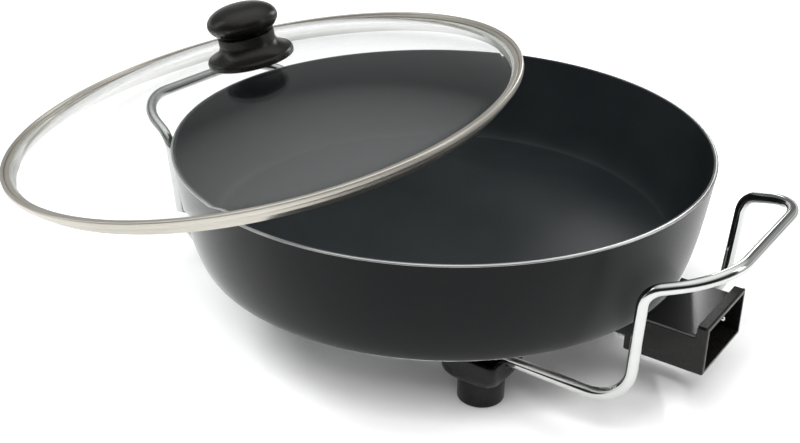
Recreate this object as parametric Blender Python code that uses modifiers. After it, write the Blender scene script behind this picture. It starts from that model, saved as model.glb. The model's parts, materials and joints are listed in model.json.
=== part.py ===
"""Electric snack pan with a lift-off glass lid.

A coated aluminium pan stands on four moulded feet over a bare heat plate, which carries a tubular
element. Two chromed wire loops are the handles. The element's pins reach into a moulded socket,
where a loose thermostat plug goes in. The glass lid has a steel band and a turned knob, and it is
held off the pan, tilted to one side.

Metres, +Z up. X runs through both handles and the socket, and -Y is the front. The origin is on
the surface that the feet stand on, at the middle of the outline seen from above.
"""

import math

import bmesh
import bpy
from mathutils import Matrix, Vector

# Clearances that several pieces share
SEAT_GAP = 0.0003          # left between two pieces that touch
CUT_OVERRUN = 0.002        # how far a cutter runs past what it cuts

# Fineness of the round forms
PAN_STEPS = 72
LID_STEPS = 60
KNOB_STEPS = 32
SMALL_STEPS = 12
FOOT_SIDES = 20
ROUNDING_STEPS = 2
TONGUE_ROUNDING_STEPS = 3
ELEMENT_RING_POINTS = 28
SHARP_ANGLE = math.radians(35)

# Pan
RIM_RADIUS = 0.163
RIM_WALL = 0.003
RIM_HEIGHT = 0.1239
RIM_ROUNDING = 0.0009
BASE_RADIUS = 0.1476
BASE_HEIGHT = 0.0583       # underside of the heat plate
WALL_POWER = 0.474         # the wall's radius grows with this power of the height
PAN_FLOOR_THICKNESS = 0.0035
FLOOR_CORNER = 0.0066      # how much smaller the cooking floor's radius is than the base's
OUTER_WALL_SHARES = (0.86, 0.66, 0.46, 0.29, 0.17, 0.09)
INNER_WALL_SHARES = (0.0, 0.02, 0.07, 0.17, 0.34, 0.6, 0.82)

# Heat plate, with the bosses that the screws go up into
HEAT_PLATE_THICKNESS = 0.002
BOSS_RADIUS = 0.006
BOSS_HEIGHT = 0.006

# Tubular element, its pins and the sleeve for the thermostat's probe
ELEMENT_RADIUS = 0.004
ELEMENT_INSET = 0.0316     # from the heat plate's edge in to the ring's centre line
ELEMENT_BEND = 0.011
ELEMENT_BEND_SHARE = 0.95  # of the bend that is rounded off
ELEMENT_REACH = 0.0090     # how far the sheath runs into the socket
PIN_SPACING = 0.023
PIN_RADIUS = 0.0025
PIN_SETBACK = 0.0043       # from the socket's mouth back to the pins' tips
PIN_TIP_LENGTH_SHARES = ((1.0, 0.0), (0.55, 0.8), (0.0, 1.0))
BUSH_LENGTH = 0.0048
SLEEVE_WALL = 0.0008
SLEEVE_LENGTH = 0.0495
SLEEVE_REACH = 0.0065      # how far the sleeve runs into the socket
SLEEVE_END_WALL = 0.001

# Socket housing and its cover
SOCKET_LENGTH = 0.0473
SOCKET_UNDERLAP = 0.0066   # how far its rear lies inside the heat plate's edge
SOCKET_HALF_WIDTH = 0.0273
SOCKET_DROP = 0.0197       # from the heat plate's underside down to the socket's
SOCKET_RISE = 0.0100       # from there up to the collar's top
SOCKET_WALL = 0.0023
SOCKET_ROOF = 0.0015
SOCKET_ROUNDING = 0.0009
COLLAR_LENGTH = 0.0063
WALL_CLEARANCE = 0.0007    # between the housing and the pan's wall
TONGUE_LENGTH = 0.0091
TONGUE_DROP = 0.0117       # from the heat plate's underside down to the tongue's
TONGUE_ROUNDING = 0.002
COLLAR_STEP = 0.0013       # the collar's top narrows by this at each end
COVER_THICKNESS = 0.0018
COVER_DROP = 0.0057        # how far the cover's top lies under the collar's
COVER_ROUNDING = 0.0005
SHEATH_CLEARANCE = 0.0006
SOCKET_SCREW_INSET = 0.006 # from the housing's side in to the screw's axis
SOCKET_SCREW_HEAD_RADIUS = 0.0033
SOCKET_BOSS_RADIUS = 0.0038

# Feet
FOOT_ANGLE = math.radians(41.9)
FOOT_FROM_RING = 0.0191    # from the element's centre line in to the foot's axis
FOOT_PAD_RADIUS = 0.0138
FOOT_PAD_CHAMFER = 0.001
FOOT_PAD_HEIGHT = 0.0163
FOOT_SHOULDER_STEP = 0.0006
FOOT_CUP_HALF = 0.0179
FOOT_CUP_CORNER = 0.0035
FOOT_CUP_BOWL_HEIGHT = 0.0085
FOOT_CUP_HEIGHT = 0.0163   # from the top of the pad to the cup's edge
FOOT_CUP_WALL = 0.0025
FOOT_CUP_FLOOR_THICKNESS = 0.0028
FOOT_COLUMN_RADIUS = 0.0098
FOOT_COLUMN_TOP_RADIUS = 0.0085
BOWL_SHARES = (0.0, 0.42, 0.72, 0.92, 1.0)

# Screws
SCREW_RADIUS = 0.002
SCREW_HOLE_RADIUS = 0.0023
SCREW_HEAD_RADIUS = 0.004
SCREW_HEAD_HEIGHT = 0.0024
SCREW_DOME_SHARE = 0.75    # flat part of the head's outer face
COUNTERBORE_RADIUS = 0.0044
COUNTERBORE_DEPTH = 0.008
SCREW_BITE = 0.0045        # how far a screw goes up into its boss

# Handles, one bent chromed wire each
WIRE_RADIUS = 0.0033
WIRE_SINK = 0.0023         # from the foot's cup edge down to the wire's centre line
WIRE_END_FROM_SCREW = 0.0043
LOWER_BEND_INSIDE_RIM = 0.0009
LOWER_BEND_RADIUS = 0.0250
UPPER_BEND_OUTSIDE_RIM = 0.0033
UPPER_BEND_WIDER = 0.0033  # than the feet's half spacing
UPPER_BEND_BELOW_RIM = 0.0202
UPPER_BEND_RADIUS = 0.013
GRIP_OUTSIDE_RIM = 0.0412
GRIP_NARROWER = 0.0084     # than the feet's half spacing
GRIP_BELOW_RIM = 0.0075
GRIP_BEND_RADIUS = 0.034
BEND_STEPS = 6
WIRE_HOLE_CLEARANCE = 0.0003

# Lid: where it is held, and how far it leans
LID_X = -0.1057
LID_Y = -0.0451
LID_LIFT = 0.0131          # from the pan's rim up to the top of the band's bead
LID_TILT = math.radians(11.0)
LID_TILT_HEADING = math.radians(211.4)

# Lid glass, heights from the top of the band's bead
GLASS_THICKNESS = 0.004
GLASS_EDGE_INSET = 0.0043  # from the bead's outside in to the glass
GLASS_FLAT_WIDTH = 0.0044  # flat edge of the glass, which is domed inside it
GLASS_EDGE_TOP = -0.0022
GLASS_RISE = 0.0300
GLASS_HOLE_RADIUS = 0.0035
DOME_SHARES = (1.0, 0.84, 0.66, 0.46, 0.25)

# Lid band: a flange over the glass, a groove, a bead that rests on the rim, and a skirt
BAND_SHEET = 0.0007
BEAD_WIDTH = 0.0026
BEAD_HEIGHT = 0.0039
BEAD_ROUNDING = 0.0009
BEAD_CORNER_SHARE = 0.33   # of the bead's rounding, at the middle of its corner
GROOVE_HEIGHT = -0.0026
FLANGE_WIDTH = 0.0025
SKIRT_CLEARANCE = 0.0035   # between the skirt and the inside of the rim
SKIRT_TAPER = 0.0011
SKIRT_BOTTOM = -0.0109

# Knob, heights above the glass
KNOB_FLANGE_RADIUS = 0.0264
KNOB_FLANGE_HEIGHT = 0.0030
KNOB_WAIST_RADIUS = 0.0172
KNOB_WAIST_HEIGHT = 0.0154
KNOB_RECESS_RADIUS = 0.0115
KNOB_RECESS_DEPTH = 0.0020
NECK_RADIUS = 0.0134
NECK_HEIGHT = 0.0012
CAP_RADIUS = 0.0215
CAP_UNDER_RADIUS = 0.0164
CAP_HEIGHT = 0.0161
CAP_PROFILE_SHARES = ((0.0, 1.0), (0.34, 0.98), (0.62, 0.905), (0.83, 0.775), (0.955, 0.61),
                      (1.0, 0.44), (0.985, 0.30), (0.93, 0.17), (0.85, 0.06))
KNOB_PROFILE_SHARES = ((0.0, 0.90), (0.02, 0.62), (0.20, 0.32), (0.48, 0.17), (0.84, 0.05))

# Knob fixing under the glass
SEAL_RADIUS = 0.0095
SEAL_THICKNESS = 0.0015
WASHER_RADIUS = 0.0085
WASHER_THICKNESS = 0.001
KNOB_SCREW_BITE = 0.0088   # how far the screw goes up past the recess

# Sizes that follow from the ones above
COOKING_FLOOR_RADIUS = BASE_RADIUS - FLOOR_CORNER
BOSS_BOTTOM = BASE_HEIGHT - BOSS_HEIGHT
PAN_UNDERSIDE = BASE_HEIGHT + HEAT_PLATE_THICKNESS + SEAT_GAP
COOKING_FLOOR = PAN_UNDERSIDE + PAN_FLOOR_THICKNESS
SOCKET_REAR_X = BASE_RADIUS - SOCKET_UNDERLAP
SOCKET_FRONT_X = SOCKET_REAR_X + SOCKET_LENGTH
SOCKET_BOTTOM = BASE_HEIGHT - SOCKET_DROP
SOCKET_TOP = BASE_HEIGHT + SOCKET_RISE
TONGUE_REAR_X = SOCKET_REAR_X - TONGUE_LENGTH
TONGUE_BOTTOM = BASE_HEIGHT - TONGUE_DROP
SOCKET_SCREW_X = SOCKET_REAR_X - SOCKET_SCREW_HEAD_RADIUS - SEAT_GAP
SOCKET_SCREW_Y = SOCKET_HALF_WIDTH - SOCKET_SCREW_INSET
COVER_TOP = SOCKET_TOP - COVER_DROP
COLLAR_REAR_X = SOCKET_FRONT_X - COLLAR_LENGTH
ELEMENT_RING_RADIUS = BASE_RADIUS - ELEMENT_INSET
ELEMENT_HEIGHT = BASE_HEIGHT - SEAT_GAP - ELEMENT_RADIUS
ELEMENT_END_X = SOCKET_REAR_X + ELEMENT_REACH
PIN_TIP_X = SOCKET_FRONT_X - PIN_SETBACK
SLEEVE_END_X = SOCKET_REAR_X + SLEEVE_REACH
SLEEVE_START_X = SLEEVE_END_X - SLEEVE_LENGTH
FOOT_X = (ELEMENT_RING_RADIUS - FOOT_FROM_RING) * math.cos(FOOT_ANGLE)
FOOT_Y = (ELEMENT_RING_RADIUS - FOOT_FROM_RING) * math.sin(FOOT_ANGLE)
FOOT_CUP_SHOULDER = FOOT_PAD_RADIUS + FOOT_SHOULDER_STEP
FOOT_CUP_TOP = FOOT_PAD_HEIGHT + FOOT_CUP_HEIGHT
FOOT_CUP_FLOOR = FOOT_PAD_HEIGHT + FOOT_CUP_FLOOR_THICKNESS
WIRE_RUN_HEIGHT = FOOT_CUP_TOP - WIRE_SINK
GRIP_X = RIM_RADIUS + GRIP_OUTSIDE_RIM
BEAD_RADIUS = RIM_RADIUS
SKIRT_TOP_RADIUS = RIM_RADIUS - RIM_WALL - SKIRT_CLEARANCE
SKIRT_BOTTOM_RADIUS = SKIRT_TOP_RADIUS - SKIRT_TAPER
GLASS_EDGE_RADIUS = BEAD_RADIUS - GLASS_EDGE_INSET
GLASS_FLAT_RADIUS = GLASS_EDGE_RADIUS - GLASS_FLAT_WIDTH
GLASS_EDGE_BOTTOM = GLASS_EDGE_TOP - GLASS_THICKNESS
GLASS_TOP = GLASS_EDGE_TOP + GLASS_RISE
GLASS_UNDERSIDE = GLASS_TOP - GLASS_THICKNESS
KNOB_BOTTOM = GLASS_TOP + SEAT_GAP
KNOB_SCREW_TIP = KNOB_BOTTOM + KNOB_RECESS_DEPTH + KNOB_SCREW_BITE
LID_HEIGHT = RIM_HEIGHT + LID_LIFT
LID_NORMAL = Vector((math.sin(LID_TILT) * math.cos(LID_TILT_HEADING),
                     math.sin(LID_TILT) * math.sin(LID_TILT_HEADING),
                     math.cos(LID_TILT)))

PARTS = bpy.data.collections.new("electric_snack_pan")
CUTTERS = bpy.data.collections.new("cutters")

# Colour, roughness and metallic value of each material
FINISHES = {
    "nonstick_coating": ((0.035, 0.037, 0.040), 0.42, 0.3),
    "bare_aluminium": ((0.72, 0.72, 0.73), 0.35, 1.0),
    "element_steel": ((0.30, 0.29, 0.27), 0.45, 1.0),
    "chromed_steel": ((0.86, 0.86, 0.87), 0.06, 1.0),
    "satin_steel": ((0.66, 0.64, 0.60), 0.28, 1.0),
    "screw_steel": ((0.55, 0.55, 0.56), 0.35, 1.0),
    "ceramic": ((0.84, 0.82, 0.77), 0.55, 0.0),
    "satin_black_plastic": ((0.028, 0.026, 0.025), 0.38, 0.0),
    "gloss_black_plastic": ((0.012, 0.012, 0.013), 0.10, 0.0),
    "silicone": ((0.10, 0.10, 0.11), 0.60, 0.0),
    "clear_glass": ((0.93, 0.96, 0.95), 0.02, 0.0),
}


def clear_scene():
    for obj in list(bpy.data.objects):
        bpy.data.objects.remove(obj, do_unlink=True)
    bpy.context.scene.collection.children.link(PARTS)
    bpy.context.scene.collection.children.link(CUTTERS)


def make_materials():
    materials = {}
    for name, (colour, roughness, metallic) in FINISHES.items():
        material = bpy.data.materials.new(name)
        material.use_nodes = True
        shader = material.node_tree.nodes["Principled BSDF"]
        shader.inputs["Base Color"].default_value = (*colour, 1.0)
        shader.inputs["Roughness"].default_value = roughness
        shader.inputs["Metallic"].default_value = metallic
        if name == "clear_glass":
            shader.inputs["Transmission Weight"].default_value = 1.0
        materials[name] = material
    return materials


def make_empty(name, location, rotation=(0, 0, 0), parent=None):
    empty = bpy.data.objects.new(name, None)
    PARTS.objects.link(empty)
    empty.location = location
    empty.rotation_euler = rotation
    empty.parent = parent
    return empty


# Small modelling helpers

def make_piece(name, data, material, parent, collection=None):
    """Link a mesh or curve as a named object under its parent."""
    piece = bpy.data.objects.new(name, data)
    (collection or PARTS).objects.link(piece)
    piece.parent = parent
    if material is not None:
        data.materials.clear()
        data.materials.append(material)
    return piece


def make_cutter(name, data, parent):
    cutter = make_piece(name, data, None, parent, CUTTERS)
    cutter.hide_render = True
    cutter.display_type = 'WIRE'
    return cutter


def mesh_from_bmesh(name, shape):
    bmesh.ops.recalc_face_normals(shape, faces=shape.faces)
    mesh = bpy.data.meshes.new(name)
    shape.to_mesh(mesh)
    shape.free()
    return mesh


def box_mesh(name, low, high, rounding=0.0, segments=ROUNDING_STEPS):
    """A box between two corners, with all its edges rounded if a rounding is given."""
    low, high = Vector(low), Vector(high)
    shape = bmesh.new()
    bmesh.ops.create_cube(shape, size=1.0)
    bmesh.ops.scale(shape, vec=high - low, verts=shape.verts)
    bmesh.ops.translate(shape, vec=(low + high) / 2, verts=shape.verts)
    if rounding:
        bmesh.ops.bevel(shape, geom=shape.edges[:], offset=rounding, segments=segments,
                        profile=0.5, affect='EDGES')
    return mesh_from_bmesh(name, shape)


def rod_mesh(name, start, end, radius, end_radius=None, steps=SMALL_STEPS * 2):
    """A round bar or cone from one point to another."""
    start, end = Vector(start), Vector(end)
    shape = bmesh.new()
    bmesh.ops.create_cone(shape, cap_ends=True, segments=steps, radius1=radius,
                          radius2=radius if end_radius is None else end_radius,
                          depth=(end - start).length)
    turn = (end - start).to_track_quat('Z', 'Y').to_matrix().to_4x4()
    bmesh.ops.transform(shape, matrix=Matrix.Translation((start + end) / 2) @ turn, verts=shape.verts)
    return mesh_from_bmesh(name, shape)


def turned_mesh(name, profile):
    """The edges of a (radius, height) profile, for a Screw modifier to turn round Z.

    The profile runs down the outer side, and is closed unless both its ends are on the axis.
    """
    shape = bmesh.new()
    corners = [shape.verts.new((radius, 0, height)) for radius, height in profile]
    for first, second in zip(corners, corners[1:]):
        shape.edges.new((first, second))
    if profile[0][0] > 0:
        shape.edges.new((corners[-1], corners[0]))
    mesh = bpy.data.meshes.new(name)
    shape.to_mesh(mesh)
    shape.free()
    return mesh


def add_screw(piece, steps):
    screw = piece.modifiers.new("Turn", 'SCREW')
    screw.steps = steps
    screw.render_steps = steps
    screw.use_merge_vertices = True
    screw.merge_threshold = 0.00001
    screw.use_smooth_shade = True


def make_turned(name, profile, steps, material, parent):
    piece = make_piece(name, turned_mesh(name, profile), material, parent)
    add_screw(piece, steps)
    return piece


def bake(piece):
    """Replace an unmoved piece by a plain mesh of what its modifiers or curve make, and return it."""
    name, parent = piece.name, piece.parent
    collection = piece.users_collection[0]
    bpy.context.view_layer.update()
    mesh = bpy.data.meshes.new_from_object(piece.evaluated_get(bpy.context.evaluated_depsgraph_get()))
    bpy.data.objects.remove(piece, do_unlink=True)
    shape = bmesh.new()
    shape.from_mesh(mesh)
    bmesh.ops.remove_doubles(shape, verts=shape.verts, dist=0.000001)
    shape.to_mesh(mesh)
    shape.free()
    solid = bpy.data.objects.new(name, mesh)
    mesh.name = name
    collection.objects.link(solid)
    solid.parent = parent
    return solid


def combine(piece, cutters, operation='DIFFERENCE'):
    """Cut, or join, a piece with each of the cutters."""
    for cutter in cutters:
        boolean = piece.modifiers.new(cutter.name, 'BOOLEAN')
        boolean.object = cutter
        boolean.operation = operation
        boolean.solver = 'EXACT'


def smooth(piece):
    piece.data.shade_smooth()
    piece.data.set_sharp_from_angle(angle=SHARP_ANGLE)


def rounded_path(corners, radii, steps=BEND_STEPS):
    """Points of a path through the corners, with an arc of its own radius at each inner corner."""
    corners = [Vector(corner) for corner in corners]
    path = [corners[0]]
    for before, corner, after, radius in zip(corners, corners[1:], corners[2:], radii):
        back = (before - corner).normalized()
        ahead = (after - corner).normalized()
        half = back.angle(ahead) / 2
        centre = corner + (back + ahead).normalized() * radius / math.sin(half)
        first = corner + back * radius / math.tan(half) - centre
        last = corner + ahead * radius / math.tan(half) - centre
        sweep = first.angle(last)
        for step in range(steps + 1):
            share = step / steps
            turn = (first * math.sin((1 - share) * sweep) + last * math.sin(share * sweep)) / math.sin(sweep)
            path.append(centre + turn)
    path.append(corners[-1])
    return path


def make_wire(name, path, radius, material, parent):
    """A round bar along a path of points, as a mesh."""
    curve = bpy.data.curves.new(name, 'CURVE')
    curve.dimensions = '3D'
    curve.bevel_depth = radius
    curve.bevel_resolution = 2
    curve.use_fill_caps = True
    spline = curve.splines.new('POLY')
    spline.points.add(len(path) - 1)
    for point, place in zip(spline.points, path):
        point.co = (*place, 1.0)
    wire = bake(make_piece(name, curve, material, parent))
    smooth(wire)
    return wire


def screw_profile(length, head_radius):
    """A pan-head screw, head up, hanging from the top of its head."""
    return ((0, 0), (head_radius * SCREW_DOME_SHARE, 0),
            (head_radius, -SCREW_HEAD_HEIGHT / 2), (head_radius, -SCREW_HEAD_HEIGHT),
            (SCREW_RADIUS, -SCREW_HEAD_HEIGHT), (SCREW_RADIUS, -length), (0, -length))


def make_screw(name, head_place, length, material, parent, head_radius=SCREW_HEAD_RADIUS):
    """A screw with its head's outer face at the place and its shank pointing up."""
    piece = make_turned(name, screw_profile(length, head_radius), SMALL_STEPS, material, parent)
    piece.location = head_place
    piece.rotation_euler = (math.pi, 0, 0)
    return piece


# Pan

def outer_wall_radius(height):
    share = (height - BASE_HEIGHT) / (RIM_HEIGHT - BASE_HEIGHT)
    return BASE_RADIUS + (RIM_RADIUS - BASE_RADIUS) * share ** WALL_POWER


def inner_wall_radius(share):
    """Radius inside the pan, at a share of the height from the cooking floor to the rim."""
    return COOKING_FLOOR_RADIUS + (RIM_RADIUS - RIM_WALL - COOKING_FLOOR_RADIUS) * share ** WALL_POWER


def make_pan_body(material, parent):
    """The coated pan: a turned shell with a rounded rim and a curved, tapering wall."""
    profile = [(RIM_RADIUS - RIM_ROUNDING, RIM_HEIGHT), (RIM_RADIUS, RIM_HEIGHT - RIM_ROUNDING)]
    for share in OUTER_WALL_SHARES:
        height = BASE_HEIGHT + (RIM_HEIGHT - BASE_HEIGHT) * share
        profile.append((outer_wall_radius(height), height))
    profile.append((outer_wall_radius(PAN_UNDERSIDE), PAN_UNDERSIDE))
    profile.append((0, PAN_UNDERSIDE))
    floor_to_rim = RIM_HEIGHT - COOKING_FLOOR
    inner = [(inner_wall_radius(share), COOKING_FLOOR + floor_to_rim * share) for share in INNER_WALL_SHARES]
    inner.append((RIM_RADIUS - RIM_WALL, RIM_HEIGHT - RIM_ROUNDING))
    inner.append((RIM_RADIUS - RIM_WALL + RIM_ROUNDING, RIM_HEIGHT))
    profile = [(0, COOKING_FLOOR)] + inner + profile
    return make_turned("pan_body", profile, PAN_STEPS, material, parent)


def boss_places():
    feet = [(side_x * FOOT_X, side_y * FOOT_Y, BOSS_RADIUS) for side_x in (-1, 1) for side_y in (-1, 1)]
    return feet + [(SOCKET_SCREW_X, side * SOCKET_SCREW_Y, SOCKET_BOSS_RADIUS) for side in (-1, 1)]


def make_heat_plate(material, parent):
    """The bare plate under the pan, with a drilled boss for each screw."""
    plate = make_piece("heat_plate", rod_mesh("heat_plate", (0, 0, BASE_HEIGHT),
                       (0, 0, BASE_HEIGHT + HEAT_PLATE_THICKNESS), BASE_RADIUS, steps=PAN_STEPS),
                       material, parent)
    bosses, holes = [], []
    for number, (x, y, radius) in enumerate(boss_places()):
        boss = rod_mesh("boss", (x, y, BOSS_BOTTOM), (x, y, BASE_HEIGHT + HEAT_PLATE_THICKNESS / 2),
                        radius, steps=SMALL_STEPS)
        hole = rod_mesh("boss_hole", (x, y, BOSS_BOTTOM - CUT_OVERRUN),
                        (x, y, BOSS_BOTTOM + SCREW_BITE + SEAT_GAP), SCREW_HOLE_RADIUS, steps=SMALL_STEPS)
        bosses.append(make_cutter(f"heat_plate_boss_{number}", boss, parent))
        holes.append(make_cutter(f"heat_plate_hole_{number}", hole, parent))
    combine(plate, bosses, 'UNION')
    combine(plate, holes)
    return plate


# Element and socket contacts

def make_element(material, parent):
    """One tube: a ring under the heat plate whose two ends turn outwards side by side."""
    pin_y = PIN_SPACING / 2
    corner = Vector((ELEMENT_RING_RADIUS, pin_y, ELEMENT_HEIGHT))
    tail = Vector((ELEMENT_END_X, pin_y, ELEMENT_HEIGHT))
    first_angle = math.asin((pin_y + ELEMENT_BEND) / ELEMENT_RING_RADIUS)
    ring = []
    for step in range(ELEMENT_RING_POINTS + 1):
        angle = first_angle + (2 * math.pi - 2 * first_angle) * step / ELEMENT_RING_POINTS
        ring.append(Vector((ELEMENT_RING_RADIUS * math.cos(angle), ELEMENT_RING_RADIUS * math.sin(angle),
                            ELEMENT_HEIGHT)))
    start = rounded_path([tail, corner, ring[0]], [ELEMENT_BEND * ELEMENT_BEND_SHARE])[:-1]
    end = [Vector((point.x, -point.y, point.z)) for point in reversed(start)]
    return make_wire("heating_element", start + ring + end, ELEMENT_RADIUS, material, parent)


def make_contacts(materials, parent):
    """The ceramic bushes and the two pins that the thermostat plug takes."""
    for word, side in (("front", -1), ("back", 1)):
        place = Vector((ELEMENT_END_X + SEAT_GAP, side * PIN_SPACING / 2, ELEMENT_HEIGHT))
        length = PIN_TIP_X - place.x
        nose = [(PIN_RADIUS * radius_share, length - PIN_RADIUS * (1 - length_share))
                for radius_share, length_share in reversed(PIN_TIP_LENGTH_SHARES)]
        pin = make_turned(f"contact_pin_{word}", nose + [(PIN_RADIUS, 0), (0, 0)], SMALL_STEPS,
                          materials["chromed_steel"], parent)
        bore = PIN_RADIUS + SEAT_GAP
        ring = [(bore, BUSH_LENGTH), (ELEMENT_RADIUS, BUSH_LENGTH), (ELEMENT_RADIUS, 0), (bore, 0)]
        bush = make_turned(f"ceramic_bush_{word}", ring, SMALL_STEPS * 2, materials["ceramic"], parent)
        for piece in (pin, bush):
            piece.location = place
            piece.rotation_euler = (0, math.pi / 2, 0)


def make_probe_sleeve(material, parent):
    """The blind tube against the heat plate that takes the thermostat's probe."""
    length = SLEEVE_END_X - SLEEVE_START_X
    bore = ELEMENT_RADIUS - SLEEVE_WALL
    profile = [(0, SLEEVE_END_WALL), (bore, SLEEVE_END_WALL), (bore, length), (ELEMENT_RADIUS, length),
               (ELEMENT_RADIUS, 0), (0, 0)]
    sleeve = make_turned("probe_sleeve", profile, SMALL_STEPS * 2, material, parent)
    sleeve.location = (SLEEVE_START_X, 0, ELEMENT_HEIGHT)
    sleeve.rotation_euler = (0, math.pi / 2, 0)
    return sleeve


# Socket housing and cover

def make_socket_housing(material, parent):
    """A moulded box, open at the front, stepped round the pan's wall, with a screwed tongue behind."""
    roof_top = COVER_TOP - COVER_THICKNESS - SEAT_GAP
    mouth_rear_x = COLLAR_REAR_X + SOCKET_ROOF
    low = (SOCKET_REAR_X, -SOCKET_HALF_WIDTH, SOCKET_BOTTOM)
    high = (SOCKET_FRONT_X, SOCKET_HALF_WIDTH, SOCKET_TOP)
    housing = make_piece("socket_housing", box_mesh("socket_housing", low, high, SOCKET_ROUNDING),
                         material, parent)
    tongue = make_cutter("socket_tongue", box_mesh(
        "socket_tongue", (TONGUE_REAR_X, -SOCKET_HALF_WIDTH, TONGUE_BOTTOM),
        (SOCKET_REAR_X + SOCKET_WALL, SOCKET_HALF_WIDTH, BASE_HEIGHT - SEAT_GAP),
        TONGUE_ROUNDING, TONGUE_ROUNDING_STEPS), parent)
    combine(housing, [tongue], 'UNION')

    cutters = []

    def cut(name, mesh):
        cutters.append(make_cutter(name, mesh, parent))

    cut("socket_cavity", box_mesh("socket_cavity", (
        SOCKET_REAR_X + SOCKET_WALL, -SOCKET_HALF_WIDTH + SOCKET_WALL, SOCKET_BOTTOM + SOCKET_WALL), (
        SOCKET_FRONT_X + CUT_OVERRUN, SOCKET_HALF_WIDTH - SOCKET_WALL, roof_top - SOCKET_ROOF)))
    cut("socket_mouth", box_mesh("socket_mouth", (
        mouth_rear_x, -SOCKET_HALF_WIDTH + SOCKET_WALL, SOCKET_BOTTOM + SOCKET_WALL), (
        SOCKET_FRONT_X + CUT_OVERRUN, SOCKET_HALF_WIDTH - SOCKET_WALL, SOCKET_TOP - SOCKET_WALL)))
    for word, side in (("front", -1), ("back", 1)):
        edges = sorted((side * (SOCKET_HALF_WIDTH - COLLAR_STEP), side * (SOCKET_HALF_WIDTH + CUT_OVERRUN)))
        cut(f"collar_step_{word}", box_mesh("collar_step", (
            SOCKET_REAR_X - CUT_OVERRUN, edges[0], SOCKET_TOP - COLLAR_STEP), (
            SOCKET_FRONT_X - COLLAR_STEP, edges[1], SOCKET_TOP + CUT_OVERRUN)))
    cut("cover_bed", box_mesh("cover_bed", (
        SOCKET_REAR_X - CUT_OVERRUN, -SOCKET_HALF_WIDTH - CUT_OVERRUN, roof_top), (
        COLLAR_REAR_X, SOCKET_HALF_WIDTH + CUT_OVERRUN, SOCKET_TOP + CUT_OVERRUN)))
    cut("pan_wall_relief", rod_mesh("pan_wall_relief", (0, 0, BASE_HEIGHT - SEAT_GAP), (
        0, 0, SOCKET_TOP + CUT_OVERRUN), outer_wall_radius(COVER_TOP) + WALL_CLEARANCE,
        steps=PAN_STEPS * 2))
    sheath_reach = ELEMENT_RADIUS + SHEATH_CLEARANCE
    cut("sheath_notch", box_mesh("sheath_notch", (
        TONGUE_REAR_X - CUT_OVERRUN, -PIN_SPACING / 2 - sheath_reach, ELEMENT_HEIGHT - sheath_reach), (
        SOCKET_REAR_X + SOCKET_WALL + CUT_OVERRUN, PIN_SPACING / 2 + sheath_reach, BASE_HEIGHT + CUT_OVERRUN)))
    for word, side in (("front", -1), ("back", 1)):
        x, y = SOCKET_SCREW_X, side * SOCKET_SCREW_Y
        cut(f"socket_boss_relief_{word}", rod_mesh("socket_boss_relief", (x, y, BOSS_BOTTOM - SEAT_GAP), (
            x, y, BASE_HEIGHT + CUT_OVERRUN), SOCKET_BOSS_RADIUS + SEAT_GAP, steps=SMALL_STEPS))
        cut(f"socket_screw_hole_{word}", rod_mesh("socket_screw_hole", (x, y, TONGUE_BOTTOM - CUT_OVERRUN), (
            x, y, BASE_HEIGHT), SCREW_HOLE_RADIUS, steps=SMALL_STEPS))
    combine(housing, cutters)
    return housing


def make_socket_cover(material, parent):
    """The glossy plate that covers the socket's roof, hollowed at the rear to follow the pan."""
    low_x = math.sqrt(outer_wall_radius(COVER_TOP) ** 2 - SOCKET_HALF_WIDTH ** 2) - CUT_OVERRUN
    cover = make_piece("socket_cover", box_mesh(
        "socket_cover", (low_x, -SOCKET_HALF_WIDTH, COVER_TOP - COVER_THICKNESS),
        (COLLAR_REAR_X - SEAT_GAP, SOCKET_HALF_WIDTH, COVER_TOP), COVER_ROUNDING), material, parent)
    relief = rod_mesh("cover_wall_relief", (0, 0, BASE_HEIGHT), (0, 0, SOCKET_TOP),
                      outer_wall_radius(COVER_TOP) + WALL_CLEARANCE, steps=PAN_STEPS * 2)
    combine(cover, [make_cutter("cover_wall_relief", relief, parent)])
    return cover


# Feet

def rounded_square(half, corner, sides):
    """Points round a square with rounded corners, at even angles. A corner as large as half is a circle."""
    points = []
    straight = half - corner
    for step in range(sides):
        angle = 2 * math.pi * (step + 0.5) / sides
        direction = Vector((math.cos(angle), math.sin(angle)))
        larger = max(abs(direction.x), abs(direction.y))
        smaller = min(abs(direction.x), abs(direction.y))
        reach = half / larger
        if smaller * reach > straight:
            middle = straight * (larger + smaller)
            reach = middle + math.sqrt(middle ** 2 - 2 * straight ** 2 + corner ** 2)
        points.append(direction * reach)
    return points


def loft_mesh(name, sections, sides):
    """A closed solid through level rounded squares, each (height, half width, corner radius)."""
    shape = bmesh.new()
    rings = []
    for height, half, corner in sections:
        rings.append([shape.verts.new((*point, height)) for point in rounded_square(half, corner, sides)])
    for lower, upper in zip(rings, rings[1:]):
        for step in range(sides):
            after = (step + 1) % sides
            shape.faces.new((lower[step], lower[after], upper[after], upper[step]))
    shape.faces.new(list(reversed(rings[0])))
    shape.faces.new(rings[-1])
    return mesh_from_bmesh(name, shape)


def foot_sections():
    """A round pad below, swelling like a bowl into a square cup with rounded corners."""
    pad, chamfer = FOOT_PAD_RADIUS, FOOT_PAD_CHAMFER
    sections = [(0, pad - chamfer, pad - chamfer), (chamfer, pad, pad), (FOOT_PAD_HEIGHT, pad, pad)]
    for share in BOWL_SHARES:
        lift = 1 - math.sqrt(1 - share ** 2)
        half = FOOT_CUP_SHOULDER + (FOOT_CUP_HALF - FOOT_CUP_SHOULDER) * share
        corner = FOOT_CUP_SHOULDER + (FOOT_CUP_CORNER - FOOT_CUP_SHOULDER) * share
        sections.append((FOOT_PAD_HEIGHT + FOOT_CUP_BOWL_HEIGHT * lift + SEAT_GAP, half, corner))
    sections.append((FOOT_CUP_TOP, FOOT_CUP_HALF, FOOT_CUP_CORNER))
    return sections


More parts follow.
